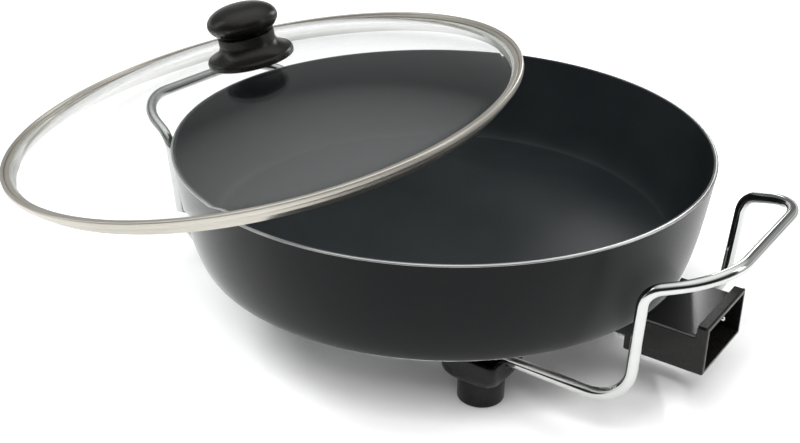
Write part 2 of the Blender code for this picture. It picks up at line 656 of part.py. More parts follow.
def make_foot_mesh(material, parent):
    """One foot, with its wire hole towards +X: the outer cup, the column inside it and its bores."""
    foot = make_piece("foot_pattern", loft_mesh("foot_pattern", foot_sections(), FOOT_SIDES), material, parent)
    inner_half = FOOT_CUP_HALF - FOOT_CUP_WALL
    inner_corner = FOOT_CUP_CORNER - FOOT_CUP_WALL
    floor_half = FOOT_PAD_RADIUS - SEAT_GAP
    pocket = loft_mesh("foot_pocket", [
        (FOOT_CUP_FLOOR, floor_half, floor_half),
        (FOOT_PAD_HEIGHT + FOOT_CUP_BOWL_HEIGHT, inner_half, inner_corner),
        (FOOT_CUP_TOP + CUT_OVERRUN, inner_half, inner_corner)], FOOT_SIDES)
    combine(foot, [make_cutter("foot_pocket", pocket, parent)])
    column_top = BOSS_BOTTOM - SEAT_GAP
    column = rod_mesh("foot_column", (0, 0, FOOT_CUP_FLOOR - FOOT_CUP_WALL), (0, 0, column_top),
                      FOOT_COLUMN_RADIUS, FOOT_COLUMN_TOP_RADIUS, steps=FOOT_SIDES)
    combine(foot, [make_cutter("foot_column", column, parent)], 'UNION')
    screw_hole = rod_mesh("foot_screw_hole", (0, 0, -CUT_OVERRUN), (0, 0, column_top + CUT_OVERRUN),
                          SCREW_HOLE_RADIUS, steps=SMALL_STEPS)
    counterbore = rod_mesh("foot_counterbore", (0, 0, -CUT_OVERRUN), (0, 0, COUNTERBORE_DEPTH),
                           COUNTERBORE_RADIUS, steps=SMALL_STEPS)
    hole_radius = WIRE_RADIUS + WIRE_HOLE_CLEARANCE
    wire_hole = rod_mesh("foot_wire_hole", (WIRE_END_FROM_SCREW - SEAT_GAP, 0, WIRE_RUN_HEIGHT),
                         (FOOT_CUP_HALF + CUT_OVERRUN, 0, WIRE_RUN_HEIGHT), hole_radius, steps=SMALL_STEPS)
    wire_slot = box_mesh("foot_wire_slot", (FOOT_COLUMN_RADIUS, -hole_radius, WIRE_RUN_HEIGHT),
                         (FOOT_CUP_HALF + CUT_OVERRUN, hole_radius, FOOT_CUP_TOP + CUT_OVERRUN))
    combine(foot, [make_cutter("foot_screw_hole", screw_hole, parent),
                   make_cutter("foot_counterbore", counterbore, parent),
                   make_cutter("foot_wire_hole", wire_hole, parent),
                   make_cutter("foot_wire_slot", wire_slot, parent)])
    baked = bake(foot)
    smooth(baked)
    mesh = baked.data
    bpy.data.objects.remove(baked, do_unlink=True)
    return mesh


def make_feet(materials, parent):
    mesh = make_foot_mesh(materials["satin_black_plastic"], parent)
    screw_length = BOSS_BOTTOM + SCREW_BITE - COUNTERBORE_DEPTH + SCREW_HEAD_HEIGHT
    for side_word, side_x in (("left", -1), ("right", 1)):
        for end_word, side_y in (("front", -1), ("back", 1)):
            x, y = side_x * FOOT_X, side_y * FOOT_Y
            foot = make_piece(f"foot_{end_word}_{side_word}", mesh, materials["satin_black_plastic"], parent)
            foot.location = (x, y, 0)
            foot.rotation_euler = (0, 0, 0 if side_x > 0 else math.pi)
            head = (x, y, COUNTERBORE_DEPTH - SCREW_HEAD_HEIGHT - SEAT_GAP)
            make_screw(f"foot_screw_{end_word}_{side_word}", head, screw_length, materials["screw_steel"], parent)


def make_socket_screws(materials, parent):
    length = BOSS_BOTTOM + SCREW_BITE - TONGUE_BOTTOM + SCREW_HEAD_HEIGHT
    for word, side in (("front", -1), ("back", 1)):
        head = (SOCKET_SCREW_X, side * SOCKET_SCREW_Y, TONGUE_BOTTOM - SCREW_HEAD_HEIGHT - SEAT_GAP)
        make_screw(f"socket_screw_{word}", head, length, materials["screw_steel"], parent,
                   SOCKET_SCREW_HEAD_RADIUS)


# Handles

def handle_corners(side):
    """Corners of one handle's centre line, from the front foot to the back foot."""
    half = [(FOOT_X + WIRE_END_FROM_SCREW, FOOT_Y, WIRE_RUN_HEIGHT),
            (RIM_RADIUS - LOWER_BEND_INSIDE_RIM, FOOT_Y, WIRE_RUN_HEIGHT),
            (RIM_RADIUS + UPPER_BEND_OUTSIDE_RIM, FOOT_Y + UPPER_BEND_WIDER,
             RIM_HEIGHT - UPPER_BEND_BELOW_RIM),
            (GRIP_X, FOOT_Y - GRIP_NARROWER, RIM_HEIGHT - GRIP_BELOW_RIM)]
    front = [(side * x, -y, z) for x, y, z in half]
    back = [(side * x, y, z) for x, y, z in reversed(half)]
    return front + back


def make_handles(material, parent):
    radii = [LOWER_BEND_RADIUS, UPPER_BEND_RADIUS, GRIP_BEND_RADIUS]
    for word, side in (("left", -1), ("right", 1)):
        path = rounded_path(handle_corners(side), radii + radii[::-1])
        make_wire(f"handle_{word}", path, WIRE_RADIUS, material, parent)


# Lid

def dome_height(radius, top, edge_radius):
    """Height of a spherical cap that falls by the glass's rise from its top to its edge radius."""
    sphere = (edge_radius ** 2 + GLASS_RISE ** 2) / (2 * GLASS_RISE)
    return top - sphere + math.sqrt(sphere ** 2 - radius ** 2)


def make_lid_glass(material, parent):
    """Domed glass of even thickness, with a flat edge and a hole for the knob's screw."""
    radii = [GLASS_FLAT_RADIUS * share for share in DOME_SHARES] + [GLASS_HOLE_RADIUS]
    outer = [(radius, dome_height(radius, GLASS_TOP, GLASS_FLAT_RADIUS)) for radius in reversed(radii)]
    inner = [(radius, dome_height(radius, GLASS_UNDERSIDE, GLASS_FLAT_RADIUS)) for radius in radii]
    edge = [(GLASS_EDGE_RADIUS, GLASS_EDGE_TOP), (GLASS_EDGE_RADIUS, GLASS_EDGE_BOTTOM)]
    return make_turned("lid_glass", outer + edge + inner, LID_STEPS, material, parent)


def make_lid_band(material, parent):
    """The folded band: a flange over the glass, a bead that rests on the rim, and a skirt in the pan."""
    wall_inner = GLASS_EDGE_RADIUS + SEAT_GAP
    wall_outer = wall_inner + BAND_SHEET
    flange_bottom = GLASS_EDGE_TOP + SEAT_GAP
    flange_top = flange_bottom + BAND_SHEET
    flange_inner = wall_outer - FLANGE_WIDTH
    ledge_top = GLASS_EDGE_BOTTOM - SEAT_GAP
    ledge_bottom = ledge_top - BAND_SHEET
    profile = [
        (flange_inner, flange_top),
        (wall_outer, flange_top),
        (BEAD_RADIUS - BEAD_WIDTH, GROOVE_HEIGHT),
        (BEAD_RADIUS - BEAD_WIDTH + BAND_SHEET, -BAND_SHEET),
        (BEAD_RADIUS - BEAD_WIDTH / 2, 0),
        (BEAD_RADIUS - BEAD_ROUNDING * BEAD_CORNER_SHARE, -BEAD_ROUNDING * BEAD_CORNER_SHARE),
        (BEAD_RADIUS, -BEAD_ROUNDING),
        (BEAD_RADIUS, -BEAD_HEIGHT + BEAD_ROUNDING),
        (BEAD_RADIUS - BEAD_ROUNDING, -BEAD_HEIGHT),
        (wall_outer, -BEAD_HEIGHT),
        (wall_outer, ledge_top),
        (wall_outer - BAND_SHEET, ledge_bottom),
        (SKIRT_TOP_RADIUS, ledge_bottom - BAND_SHEET),
        (SKIRT_BOTTOM_RADIUS, SKIRT_BOTTOM),
        (SKIRT_BOTTOM_RADIUS - BAND_SHEET, SKIRT_BOTTOM),
        (SKIRT_TOP_RADIUS - BAND_SHEET * 2, ledge_top),
        (wall_inner, ledge_top),
        (wall_inner, flange_bottom),
        (flange_inner, flange_bottom),
    ]
    return make_turned("lid_band", profile, LID_STEPS, material, parent)


def make_knob(materials, parent):
    """A waisted base on the glass, and a domed cap on its neck with a dark groove between them."""
    waist_top = KNOB_BOTTOM + KNOB_WAIST_HEIGHT
    swell = KNOB_FLANGE_RADIUS - KNOB_WAIST_RADIUS
    curve_height = waist_top - KNOB_BOTTOM - KNOB_FLANGE_HEIGHT
    edge_drop = GLASS_TOP - dome_height(KNOB_FLANGE_RADIUS, GLASS_TOP, GLASS_FLAT_RADIUS)
    bore = SCREW_HOLE_RADIUS
    screw_end = KNOB_SCREW_TIP + SEAT_GAP
    profile = [(0, waist_top + NECK_HEIGHT), (NECK_RADIUS, waist_top + NECK_HEIGHT), (NECK_RADIUS, waist_top),
               (KNOB_WAIST_RADIUS, waist_top)]
    for width_share, height_share in KNOB_PROFILE_SHARES:
        profile.append((KNOB_WAIST_RADIUS + swell * width_share,
                        KNOB_BOTTOM + KNOB_FLANGE_HEIGHT + curve_height * height_share))
    profile += [(KNOB_FLANGE_RADIUS, KNOB_BOTTOM + KNOB_FLANGE_HEIGHT / 2),
                (KNOB_FLANGE_RADIUS - SEAT_GAP, KNOB_BOTTOM - edge_drop),
                (KNOB_RECESS_RADIUS, KNOB_BOTTOM),
                (KNOB_RECESS_RADIUS, KNOB_BOTTOM + KNOB_RECESS_DEPTH),
                (bore, KNOB_BOTTOM + KNOB_RECESS_DEPTH), (bore, screw_end), (0, screw_end)]
    make_turned("knob_base", profile, KNOB_STEPS, materials["satin_black_plastic"], parent)

    cap_bottom = waist_top + NECK_HEIGHT + SEAT_GAP
    cap = [(CAP_RADIUS * radius_share, cap_bottom + CAP_HEIGHT * height_share)
           for radius_share, height_share in CAP_PROFILE_SHARES]
    cap += [(CAP_UNDER_RADIUS, cap_bottom), (0, cap_bottom)]
    make_turned("knob_cap", cap, KNOB_STEPS, materials["satin_black_plastic"], parent)


def ring_profile(inner, outer, bottom, thickness):
    top = bottom + thickness
    return [(inner, top), (outer, top), (outer, bottom), (inner, bottom)]


def make_knob_fixing(materials, parent):
    """Upper seal on the glass, and lower seal, washer and screw under it."""
    bore = SCREW_HOLE_RADIUS
    upper = ring_profile(bore, SEAL_RADIUS, GLASS_TOP + SEAT_GAP, SEAL_THICKNESS)
    make_turned("knob_seal_upper", upper, SMALL_STEPS * 2, materials["silicone"], parent)
    lower_top = dome_height(SEAL_RADIUS, GLASS_UNDERSIDE, GLASS_FLAT_RADIUS) - SEAT_GAP
    lower = ring_profile(bore, SEAL_RADIUS, lower_top - SEAL_THICKNESS, SEAL_THICKNESS)
    make_turned("knob_seal_lower", lower, SMALL_STEPS * 2, materials["silicone"], parent)
    washer_top = lower_top - SEAL_THICKNESS - SEAT_GAP
    washer = ring_profile(bore, WASHER_RADIUS, washer_top - WASHER_THICKNESS, WASHER_THICKNESS)
    make_turned("knob_washer", washer, SMALL_STEPS * 2, materials["screw_steel"], parent)
    head_top = washer_top - WASHER_THICKNESS - SEAT_GAP
    head_bottom = head_top - SCREW_HEAD_HEIGHT
    make_screw("knob_screw", (0, 0, head_bottom), KNOB_SCREW_TIP - head_bottom,
               materials["screw_steel"], parent)


def origin_shift():
    """Where the pan's axis stands, so that the outline's middle is at the origin."""
    lid_reach_x = BEAD_RADIUS * math.sqrt(1 - LID_NORMAL.x ** 2)
    lid_reach_y = BEAD_RADIUS * math.sqrt(1 - LID_NORMAL.y ** 2)
    right = GRIP_X + WIRE_RADIUS
    left = LID_X - lid_reach_x
    front = LID_Y - lid_reach_y
    back = RIM_RADIUS
    return Vector((-(left + right) / 2, -(front + back) / 2, 0))


def main():
    clear_scene()
    materials = make_materials()
    pan_axis = make_empty("pan_axis", origin_shift())
    make_pan_body(materials["nonstick_coating"], pan_axis)
    make_heat_plate(materials["bare_aluminium"], pan_axis)
    make_element(materials["element_steel"], pan_axis)
    make_contacts(materials, pan_axis)
    make_probe_sleeve(materials["element_steel"], pan_axis)
    make_socket_housing(materials["satin_black_plastic"], pan_axis)
    make_socket_cover(materials["gloss_black_plastic"], pan_axis)
    make_socket_screws(materials, pan_axis)
    make_feet(materials, pan_axis)
    make_handles(materials["chromed_steel"], pan_axis)

    lid_axis = make_empty("lid_axis", (LID_X, LID_Y, LID_HEIGHT), (0, LID_TILT, LID_TILT_HEADING), pan_axis)
    make_lid_glass(materials["clear_glass"], lid_axis)
    make_lid_band(materials["satin_steel"], lid_axis)
    make_knob(materials, lid_axis)
    make_knob_fixing(materials, lid_axis)
    bpy.context.view_layer.update()


main()
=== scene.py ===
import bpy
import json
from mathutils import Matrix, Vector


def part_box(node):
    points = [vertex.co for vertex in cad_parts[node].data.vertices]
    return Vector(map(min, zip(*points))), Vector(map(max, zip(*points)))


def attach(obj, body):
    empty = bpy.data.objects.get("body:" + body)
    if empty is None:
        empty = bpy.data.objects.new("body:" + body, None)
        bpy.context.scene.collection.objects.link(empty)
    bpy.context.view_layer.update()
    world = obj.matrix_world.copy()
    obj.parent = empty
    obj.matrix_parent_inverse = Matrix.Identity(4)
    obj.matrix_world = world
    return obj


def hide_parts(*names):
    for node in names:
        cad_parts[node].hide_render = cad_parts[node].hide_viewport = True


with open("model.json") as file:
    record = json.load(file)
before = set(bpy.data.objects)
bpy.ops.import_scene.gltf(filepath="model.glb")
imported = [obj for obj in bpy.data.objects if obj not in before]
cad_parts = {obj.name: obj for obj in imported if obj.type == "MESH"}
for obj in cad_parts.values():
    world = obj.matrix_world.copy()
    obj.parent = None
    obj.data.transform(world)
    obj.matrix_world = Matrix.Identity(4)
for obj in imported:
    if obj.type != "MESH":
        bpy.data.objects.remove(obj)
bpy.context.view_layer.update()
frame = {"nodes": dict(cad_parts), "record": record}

import json
import math

import bmesh
import bpy
from mathutils import Matrix, Vector

# Fineness of the surfaces made here
PAN_STEPS = 256
LID_STEPS = 256
KNOB_STEPS = 96
BELL_STEPS = 24
GLASS_STEPS = 36
FOOT_SIDES = 64
PAD_EDGE_STEPS = 5
BOWL_STEPS = 12
WALL_STEPS = 40
ROUNDING_STEPS = 5
CURVE_STEPS = 6
BEND_STEPS = 14
SHARP_ANGLE = math.radians(38)
WELD_DISTANCE = 0.00001

# Pan, about its own axis
RIM_RADIUS = 0.163
RIM_WALL = 0.003
RIM_HEIGHT = 0.1239
RIM_ROUNDING = 0.0009
BASE_RADIUS = 0.1476
BASE_HEIGHT = 0.0583
WALL_POWER = 0.474
PAN_UNDERSIDE = 0.0606
COOKING_FLOOR = 0.0641
COOKING_FLOOR_RADIUS = 0.141
WALL_TOP_SHARE = 0.97      # the wall's curve stops here and the rim's rounding takes over
UNDERSIDE_EDGE = 0.0006
UNDERSIDE_RING = 0.07

# Handles
WIRE_RADIUS = 0.0033
HANDLE_CORNERS = ((0.0764, 0.0647, 0.0303), (0.1621, 0.0647, 0.0303), (0.1663, 0.0680, 0.1037),
                  (0.2041, 0.0563, 0.1164))
HANDLE_BENDS = (0.025, 0.013, 0.034)

# Feet
FOOT_X = 0.0721
FOOT_Y = 0.0647
PAD_RADIUS = 0.0138
PAD_HEIGHT = 0.0163
PAD_EDGE = 0.001
CUP_HALF = 0.0179
CUP_CORNER = 0.0035
CUP_SHOULDER = 0.0144
BOWL_HEIGHT = 0.0085
CUP_TOP = 0.0326
CUP_WALL = 0.0025
CUP_LIP = 0.0004           # rounding of the cup's upper edge
CUP_FLOOR = 0.0191
COLUMN_RADIUS = 0.0098
COLUMN_TOP_RADIUS = 0.0085
COLUMN_TOP = 0.0520
WIRE_RUN_HEIGHT = 0.0303
WIRE_CLEARANCE = 0.0003
SCREW_BORE_RADIUS = 0.0023
COUNTERBORE_RADIUS = 0.0044
COUNTERBORE_DEPTH = 0.008
CUT_OVERRUN = 0.002        # how far a cutting shape reaches past what it cuts

# Lid, in its own tilted frame
LID_OFFSET = Vector((-0.1057, -0.0451, 0.1370))
LID_TILT = math.radians(11.0)
LID_HEADING = math.radians(211.4)
GLASS_THICKNESS = 0.004
GLASS_EDGE_RADIUS = 0.1587
GLASS_FLAT_RADIUS = 0.1543
GLASS_EDGE_TOP = -0.0022
GLASS_RISE = 0.0300
GLASS_TOP = GLASS_EDGE_TOP + GLASS_RISE
GLASS_HOLE_RADIUS = 0.0035
GLASS_EDGE_ROUNDING = 0.0018
BAND_OUTLINE = (           # (radius, height, rounding) from the skirt up to the flange and down inside
    (0.15505, -0.0109, 0), (0.1554, -0.0109, 0.0002), (0.1565, -0.0079, 0.0009),
    (0.1597, -0.0071, 0.0006), (0.1597, -0.0039, 0.0003), (0.1630, -0.0039, 0.0009),
    (0.1630, 0.0, 0.0010), (0.1609, 0.0, 0.0008), (0.1604, -0.0026, 0.00022),
    (0.15975, -0.0012, 0.00035), (0.1572, -0.0012, 0.0003), (0.1572, -0.0019, 0.0003),
    (0.1590, -0.0019, 0.00015), (0.1590, -0.0065, 0.00015), (0.1551, -0.0065, 0.0003),
    (0.1547, -0.0109, 0.0002), (0.15505, -0.0109, 0))
BAND_TIP = 11              # the flange's tip, where the band's inner side starts

# Knob, about the lid's axis
KNOB_BOTTOM = 0.0281
KNOB_WAIST_RADIUS = 0.0172
KNOB_WAIST_TOP = KNOB_BOTTOM + 0.0154
KNOB_FLANGE_RADIUS = 0.0264
KNOB_FLANGE_HEIGHT = 0.003
KNOB_FLANGE_EDGE = 0.0019  # where the flange's upright side ends
KNOB_NECK_RADIUS = 0.0134
KNOB_NECK_HEIGHT = 0.0012
KNOB_RECESS_RADIUS = 0.0115
KNOB_RECESS_DEPTH = 0.002
KNOB_BORE_RADIUS = 0.0023
KNOB_BORE_DEPTH = 0.0111
BELL_REACH = 0.98          # shares of the flange's width and height that the bell's curve takes
BELL_RISE = 0.62
BELL_POWER = 0.8
CAP_GAP = 0.0003
CAP_RADIUS = 0.0215
CAP_HEIGHT = 0.0160
CAP_PROFILE = ((0.0, 1.0), (0.34, 0.98), (0.62, 0.905), (0.83, 0.775), (0.955, 0.61), (1.0, 0.44),
               (0.985, 0.30), (0.93, 0.17), (0.85, 0.06), (0.763, 0.0))

# Studio
CAMERA_PLACE = (0.3902, -0.5392, 0.4042)
CAMERA_TURN = (1.1000, -0.0090, 0.6147)
CAMERA_LENS = 53.3827
CAMERA_SENSOR = 36.0
FLOOR_RADIUS = 5.0
FLOOR_DROP = 0.0002        # below the feet, so that the two surfaces don't share a plane
FLOOR_PALE = (0.93, 0.93, 0.93)
FLOOR_DARK = (0.36, 0.36, 0.36)
SHADOW_CENTRE = (0.12, -0.16, 0.0)
GLOW_BAND = (0.30, 0.48)   # distances from the shadow's centre over which the floor turns white
DARK_BAND = (0.46, 0.64)   # and over which its own colour turns dark
MIRROR_BAND = (0.46, 0.62)
MIRROR_LEVELS = (0.35, 0.10)

# World, by direction: height, and share towards the near and the right side
NEAR_SIDE = (0.54, -0.84, 0.0)
RIGHT_SIDE = (0.84, 0.54, 0.0)
HORIZON_BAND = (0.04, 0.16)
ROOM_LEVEL = 0.20
RIGHT_BAND = (0.35, 0.65)
RIGHT_LEVEL = 0.45
NEAR_BAND = (0.10, 0.35)
NEAR_LEVEL = 0.10
CEILING_BAND = (0.55, 0.92)
CEILING_LEVEL = 1.25
SOFT_LEVEL = 0.15          # for diffuse light

# Lamps
PAN_AIM = (0, 0, 0.02)
LAMPS = (                  # name, place, aim, width, height, radiance, what it alone lights
    ("key_front", (0.52, -0.90, 1.28), PAN_AIM, 0.9, 0.7, 11.5, "diffuse"),
    ("key_left", (-0.87, -0.50, 1.35), PAN_AIM, 0.6, 0.6, 11.5, "diffuse"),
    ("key_right", (1.00, 0.17, 1.35), PAN_AIM, 0.6, 0.6, 8.5, "diffuse"),
    ("key_top", (-0.15, 0.0, 1.8), (0, 0, 0), 1.6, 1.6, 1.0, "diffuse"),
    ("card_socket", (-0.009, 0.449, 0.339), (0.2085, 0.02, 0.0626), 0.13, 0.20, 5.0, "gloss"),
    ("softbox_right", (1.30, 0.55, 0.80), (0.1, 0, 0.08), 0.45, 1.0, 1.6, None),
    ("softbox_left", (-1.25, -0.65, 0.80), (0, 0, 0.08), 0.45, 1.0, 1.8, None))

low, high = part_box("pan_body")
PAN_PLACE = Matrix.Translation(((low.x + high.x) / 2, (low.y + high.y) / 2, 0))
LID_PLACE = (PAN_PLACE @ Matrix.Translation(LID_OFFSET) @ Matrix.Rotation(LID_HEADING, 4, 'Z')
             @ Matrix.Rotation(LID_TILT, 4, 'Y'))


# Node helpers

def begin(name):
    """A new material with its node tree, its Principled shader and its object coordinates."""
    material = bpy.data.materials.new(name)
    material.use_nodes = True
    tree = material.node_tree
    return material, tree, tree.nodes["Principled BSDF"], node(tree, "TexCoord").outputs["Object"]


def node(tree, kind, inputs=None, **settings):
    """A shader node with its settings, its input values and the sockets linked into it."""
    made = tree.nodes.new("ShaderNode" + kind)
    for key, value in settings.items():
        setattr(made, key, value)
    for key, value in (inputs or {}).items():
        if isinstance(value, bpy.types.NodeSocket):
            tree.links.new(value, made.inputs[key])
        else:
            made.inputs[key].default_value = value
    return made


def noise(tree, place, scale, detail=3.0, roughness=0.5):
    return node(tree, "TexNoise", {"Vector": place, "Scale": scale, "Detail": detail,
                                   "Roughness": roughness}).outputs["Fac"]


def spread(tree, value, low_in, high_in, low_out, high_out):
    return node(tree, "MapRange", {"Value": value, "From Min": low_in, "From Max": high_in,
                                   "To Min": low_out, "To Max": high_out}).outputs["Result"]


def math_node(tree, operation, first, second=0.0):
    return node(tree, "Math", {0: first, 1: second}, operation=operation).outputs[0]


def blend(tree, share, first, second):
    """A colour between two others."""
    first = (*first, 1.0) if isinstance(first, tuple) else first
    second = (*second, 1.0) if isinstance(second, tuple) else second
    return node(tree, "Mix", {0: share, 6: first, 7: second}, data_type='RGBA').outputs[2]


def bump(tree, height, distance, strength):
    made = node(tree, "Bump", {"Height": height, "Distance": distance, "Strength": strength})
    return made.outputs["Normal"]


def rubbed_and_highlit_edges(tree, radius):
    """1 along sharp edges and 0 on flats, from how much a rounded normal turns away: a mask for edges
    painted brighter, partly as rubbed wear and partly as a painted highlight.
    """
    rounded = node(tree, "Bevel", {"Radius": radius}, samples=4).outputs["Normal"]
    plain = node(tree, "NewGeometry").outputs["Normal"]
    agree = node(tree, "VectorMath", {0: rounded, 1: plain}, operation='DOT_PRODUCT').outputs["Value"]
    return spread(tree, agree, 0.97, 0.80, 0.0, 1.0)


def ring_coordinates(tree, place, across, axis):
    """Coordinates that run slowly round an axis and fast across it, for marks left by turning."""
    about = node(tree, "Mapping", {"Vector": place, "Location": axis.to_translation(),
                                   "Rotation": axis.to_euler()}, vector_type='TEXTURE').outputs["Vector"]
    parts = node(tree, "SeparateXYZ", {0: about}).outputs
    angle = math_node(tree, 'ARCTAN2', parts["Y"], parts["X"])
    flat = math_node(tree, 'ADD', math_node(tree, 'MULTIPLY', parts["X"], parts["X"]),
                     math_node(tree, 'MULTIPLY', parts["Y"], parts["Y"]))
    radius = math_node(tree, 'SQRT', flat)
    return node(tree, "CombineXYZ", {"X": math_node(tree, 'MULTIPLY', angle, 1.6),
                                     "Y": math_node(tree, 'MULTIPLY', radius, across),
                                     "Z": math_node(tree, 'MULTIPLY', parts["Z"], across)}).outputs[0]


def finish_shader(tree, shader, colour, roughness, normal, **fixed):
    """Link what varies over a surface, and set what is the same all over it."""
    tree.links.new(colour, shader.inputs["Base Color"])
    tree.links.new(roughness, shader.inputs["Roughness"])
    tree.links.new(normal, shader.inputs["Normal"])
    for key, value in fixed.items():
        shader.inputs[key.replace("_", " ")].default_value = value


# Materials

def coating_material(name, dark, light, fleck, index, sheen):
    """Dark non-stick coating: fine metallic specks, a slight orange peel and soft clouds of tone."""
    material, tree, shader, place = begin(name)
    cloud = noise(tree, place, 16.0)
    grain = noise(tree, place, 900.0, 4.0)
    speck = spread(tree, noise(tree, place, 3200.0, 1.0), 0.60, 0.72, 0.0, 0.5)
    tone = blend(tree, spread(tree, cloud, 0.35, 0.65, 0.0, 1.0), dark, light)
    colour = blend(tree, speck, tone, fleck)
    roughness = spread(tree, math_node(tree, 'ADD', grain, cloud), 0.7, 1.3, 0.33, 0.43)
    finish_shader(tree, shader, colour, roughness, bump(tree, grain, 0.00004, 0.35), IOR=index,
                  Sheen_Weight=sheen, Sheen_Roughness=0.30)
    return material


def turned_metal_material(name, dark, light, roughness):
    """Bare metal with the fine rings that a lathe leaves."""
    material, tree, shader, place = begin(name)
    rings = noise(tree, ring_coordinates(tree, place, 2200.0, PAN_PLACE), 1.0, 4.0, 0.6)
    cloud = noise(tree, place, 30.0)
    tone = spread(tree, math_node(tree, 'ADD', rings, cloud), 0.7, 1.3, 0.0, 1.0)
    colour = blend(tree, tone, dark, light)
    finish_shader(tree, shader, colour, spread(tree, rings, 0.3, 0.7, roughness - 0.06, roughness + 0.08),
                  bump(tree, rings, 0.00002, 0.6), Metallic=1.0)
    return material


def chrome_material():
    """Polished chrome plate with faint drawing marks and handling haze."""
    material, tree, shader, place = begin("look_chromed_steel")
    haze = noise(tree, place, 45.0, 5.0)
    fine = noise(tree, place, 1500.0, 2.0)
    colour = blend(tree, haze, (0.51, 0.52, 0.51), (0.61, 0.62, 0.61))
    finish_shader(tree, shader, colour, spread(tree, haze, 0.35, 0.7, 0.03, 0.09),
                  bump(tree, fine, 0.000004, 0.4), Metallic=1.0)
    return material


def band_material(name, dark, light, metallic):
    """Satin stainless steel, brushed along the band."""
    material, tree, shader, place = begin(name)
    brushed = noise(tree, ring_coordinates(tree, place, 3800.0, LID_PLACE), 1.0, 5.0, 0.65)
    cloud = noise(tree, place, 22.0)
    tone = spread(tree, math_node(tree, 'ADD', brushed, cloud), 0.7, 1.3, 0.0, 1.0)
    colour = blend(tree, tone, dark, light)
    finish_shader(tree, shader, colour, spread(tree, brushed, 0.3, 0.7, 0.26, 0.34),
                  bump(tree, brushed, 0.00001, 0.4), Metallic=metallic)
    return material


def element_material():
    """Element sheath: dull steel with blue and straw heat tints."""
    material, tree, shader, place = begin("look_element_steel")
    heat = noise(tree, place, 38.0, 4.0)
    grain = noise(tree, place, 1400.0, 3.0)
    warm = blend(tree, spread(tree, heat, 0.4, 0.6, 0.0, 1.0), (0.22, 0.20, 0.20), (0.36, 0.32, 0.26))
    colour = blend(tree, spread(tree, grain, 0.5, 0.8, 0.0, 0.5), warm, (0.14, 0.15, 0.19))
    finish_shader(tree, shader, colour, spread(tree, grain, 0.3, 0.7, 0.36, 0.54),
                  bump(tree, grain, 0.00003, 0.5), Metallic=1.0)
    return material


def plastic_material(name, base, light, roughness, grain_scale, grain_depth, coat=0.0):
    """Moulded black plastic: spark-eroded grain, soft clouds, and edges painted a little brighter, partly
    as rubbed wear and partly as a painted highlight.
    """
    material, tree, shader, place = begin(name)
    grain = noise(tree, place, grain_scale, 3.0, 0.6)
    cloud = noise(tree, place, 60.0, 3.0)
    edge = rubbed_and_highlit_edges(tree, 0.0006)
    lifted = tuple(1.35 * channel for channel in base)
    tone = blend(tree, spread(tree, cloud, 0.35, 0.65, 0.0, 1.0), base, lifted)
    # Edges painted brighter: partly rubbed wear, partly a painted highlight.
    colour = blend(tree, math_node(tree, 'MULTIPLY', edge, 0.35), tone, light)
    rough = spread(tree, math_node(tree, 'ADD', grain, cloud), 0.7, 1.3, roughness * 0.85, roughness * 1.2)
    finish_shader(tree, shader, colour, rough, bump(tree, grain, grain_depth, 0.5), IOR=1.33,
                  Coat_Weight=coat, Coat_Roughness=0.16)
    return material


def grainy_material(name, dark, light, roughness, scale):
    """A plain mineral or rubber surface with fine grain."""
    material, tree, shader, place = begin(name)
    grain = noise(tree, place, scale, 4.0)
    cloud = noise(tree, place, 80.0)
    tone = spread(tree, math_node(tree, 'ADD', grain, cloud), 0.7, 1.3, 0.0, 1.0)
    colour = blend(tree, tone, dark, light)
    rough = spread(tree, grain, 0.3, 0.7, roughness * 0.85, roughness * 1.15)
    finish_shader(tree, shader, colour, rough, bump(tree, grain, 0.00003, 0.5))
    return material


def glass_material():
    """Clear tempered glass, a little green and wavy, that lets lamp light through to what is under it."""
    material, tree, shader, place = begin("look_clear_glass")
    shader.inputs["Base Color"].default_value = (0.985, 0.998, 0.993, 1.0)
    shader.inputs["Roughness"].default_value = 0.0
    shader.inputs["IOR"].default_value = 1.46
    shader.inputs["Transmission Weight"].default_value = 1.0
    tree.links.new(bump(tree, noise(tree, place, 9.0, 1.0), 0.0004, 0.12), shader.inputs["Normal"])
    clear = node(tree, "BsdfTransparent", {"Color": (0.96, 0.975, 0.97, 1.0)})
    lamp_ray = node(tree, "LightPath").outputs["Is Shadow Ray"]
    mixed = node(tree, "MixShader", {0: lamp_ray, 1: shader.outputs[0], 2: clear.outputs[0]})
    tree.links.new(mixed.outputs[0], tree.nodes["Material Output"].inputs["Surface"])
    return material


LOOKS = {
    "nonstick_coating": coating_material("look_outer_coating", (0.0026, 0.0031, 0.0035),
                                         (0.0040, 0.0046, 0.0050), (0.022, 0.024, 0.026), 1.19, 0.55),
    "bare_aluminium": turned_metal_material("look_bare_aluminium", (0.58, 0.58, 0.58),
                                            (0.76, 0.76, 0.77), 0.32),
    "element_steel": element_material(),
    "chromed_steel": chrome_material(),
    "satin_steel": band_material("look_satin_steel", (0.44, 0.420, 0.374), (0.51, 0.489, 0.437), 0.75),
    "screw_steel": turned_metal_material("look_screw_steel", (0.42, 0.42, 0.44),
                                         (0.60, 0.60, 0.61), 0.34),
    "ceramic": grainy_material("look_ceramic", (0.74, 0.71, 0.66), (0.86, 0.84, 0.80), 0.6, 1800.0),
    "satin_black_plastic": plastic_material("look_satin_black_plastic", (0.0048, 0.0045, 0.0041),
                                            (0.050, 0.047, 0.044), 0.27, 1700.0, 0.00002),
    "gloss_black_plastic": plastic_material("look_gloss_black_plastic", (0.0050, 0.0050, 0.0053),
                                            (0.040, 0.040, 0.040), 0.22, 500.0, 0.000004, 1.0),
    "silicone": grainy_material("look_silicone", (0.07, 0.07, 0.075), (0.12, 0.12, 0.125), 0.6, 1500.0),
    "clear_glass": glass_material(),
}
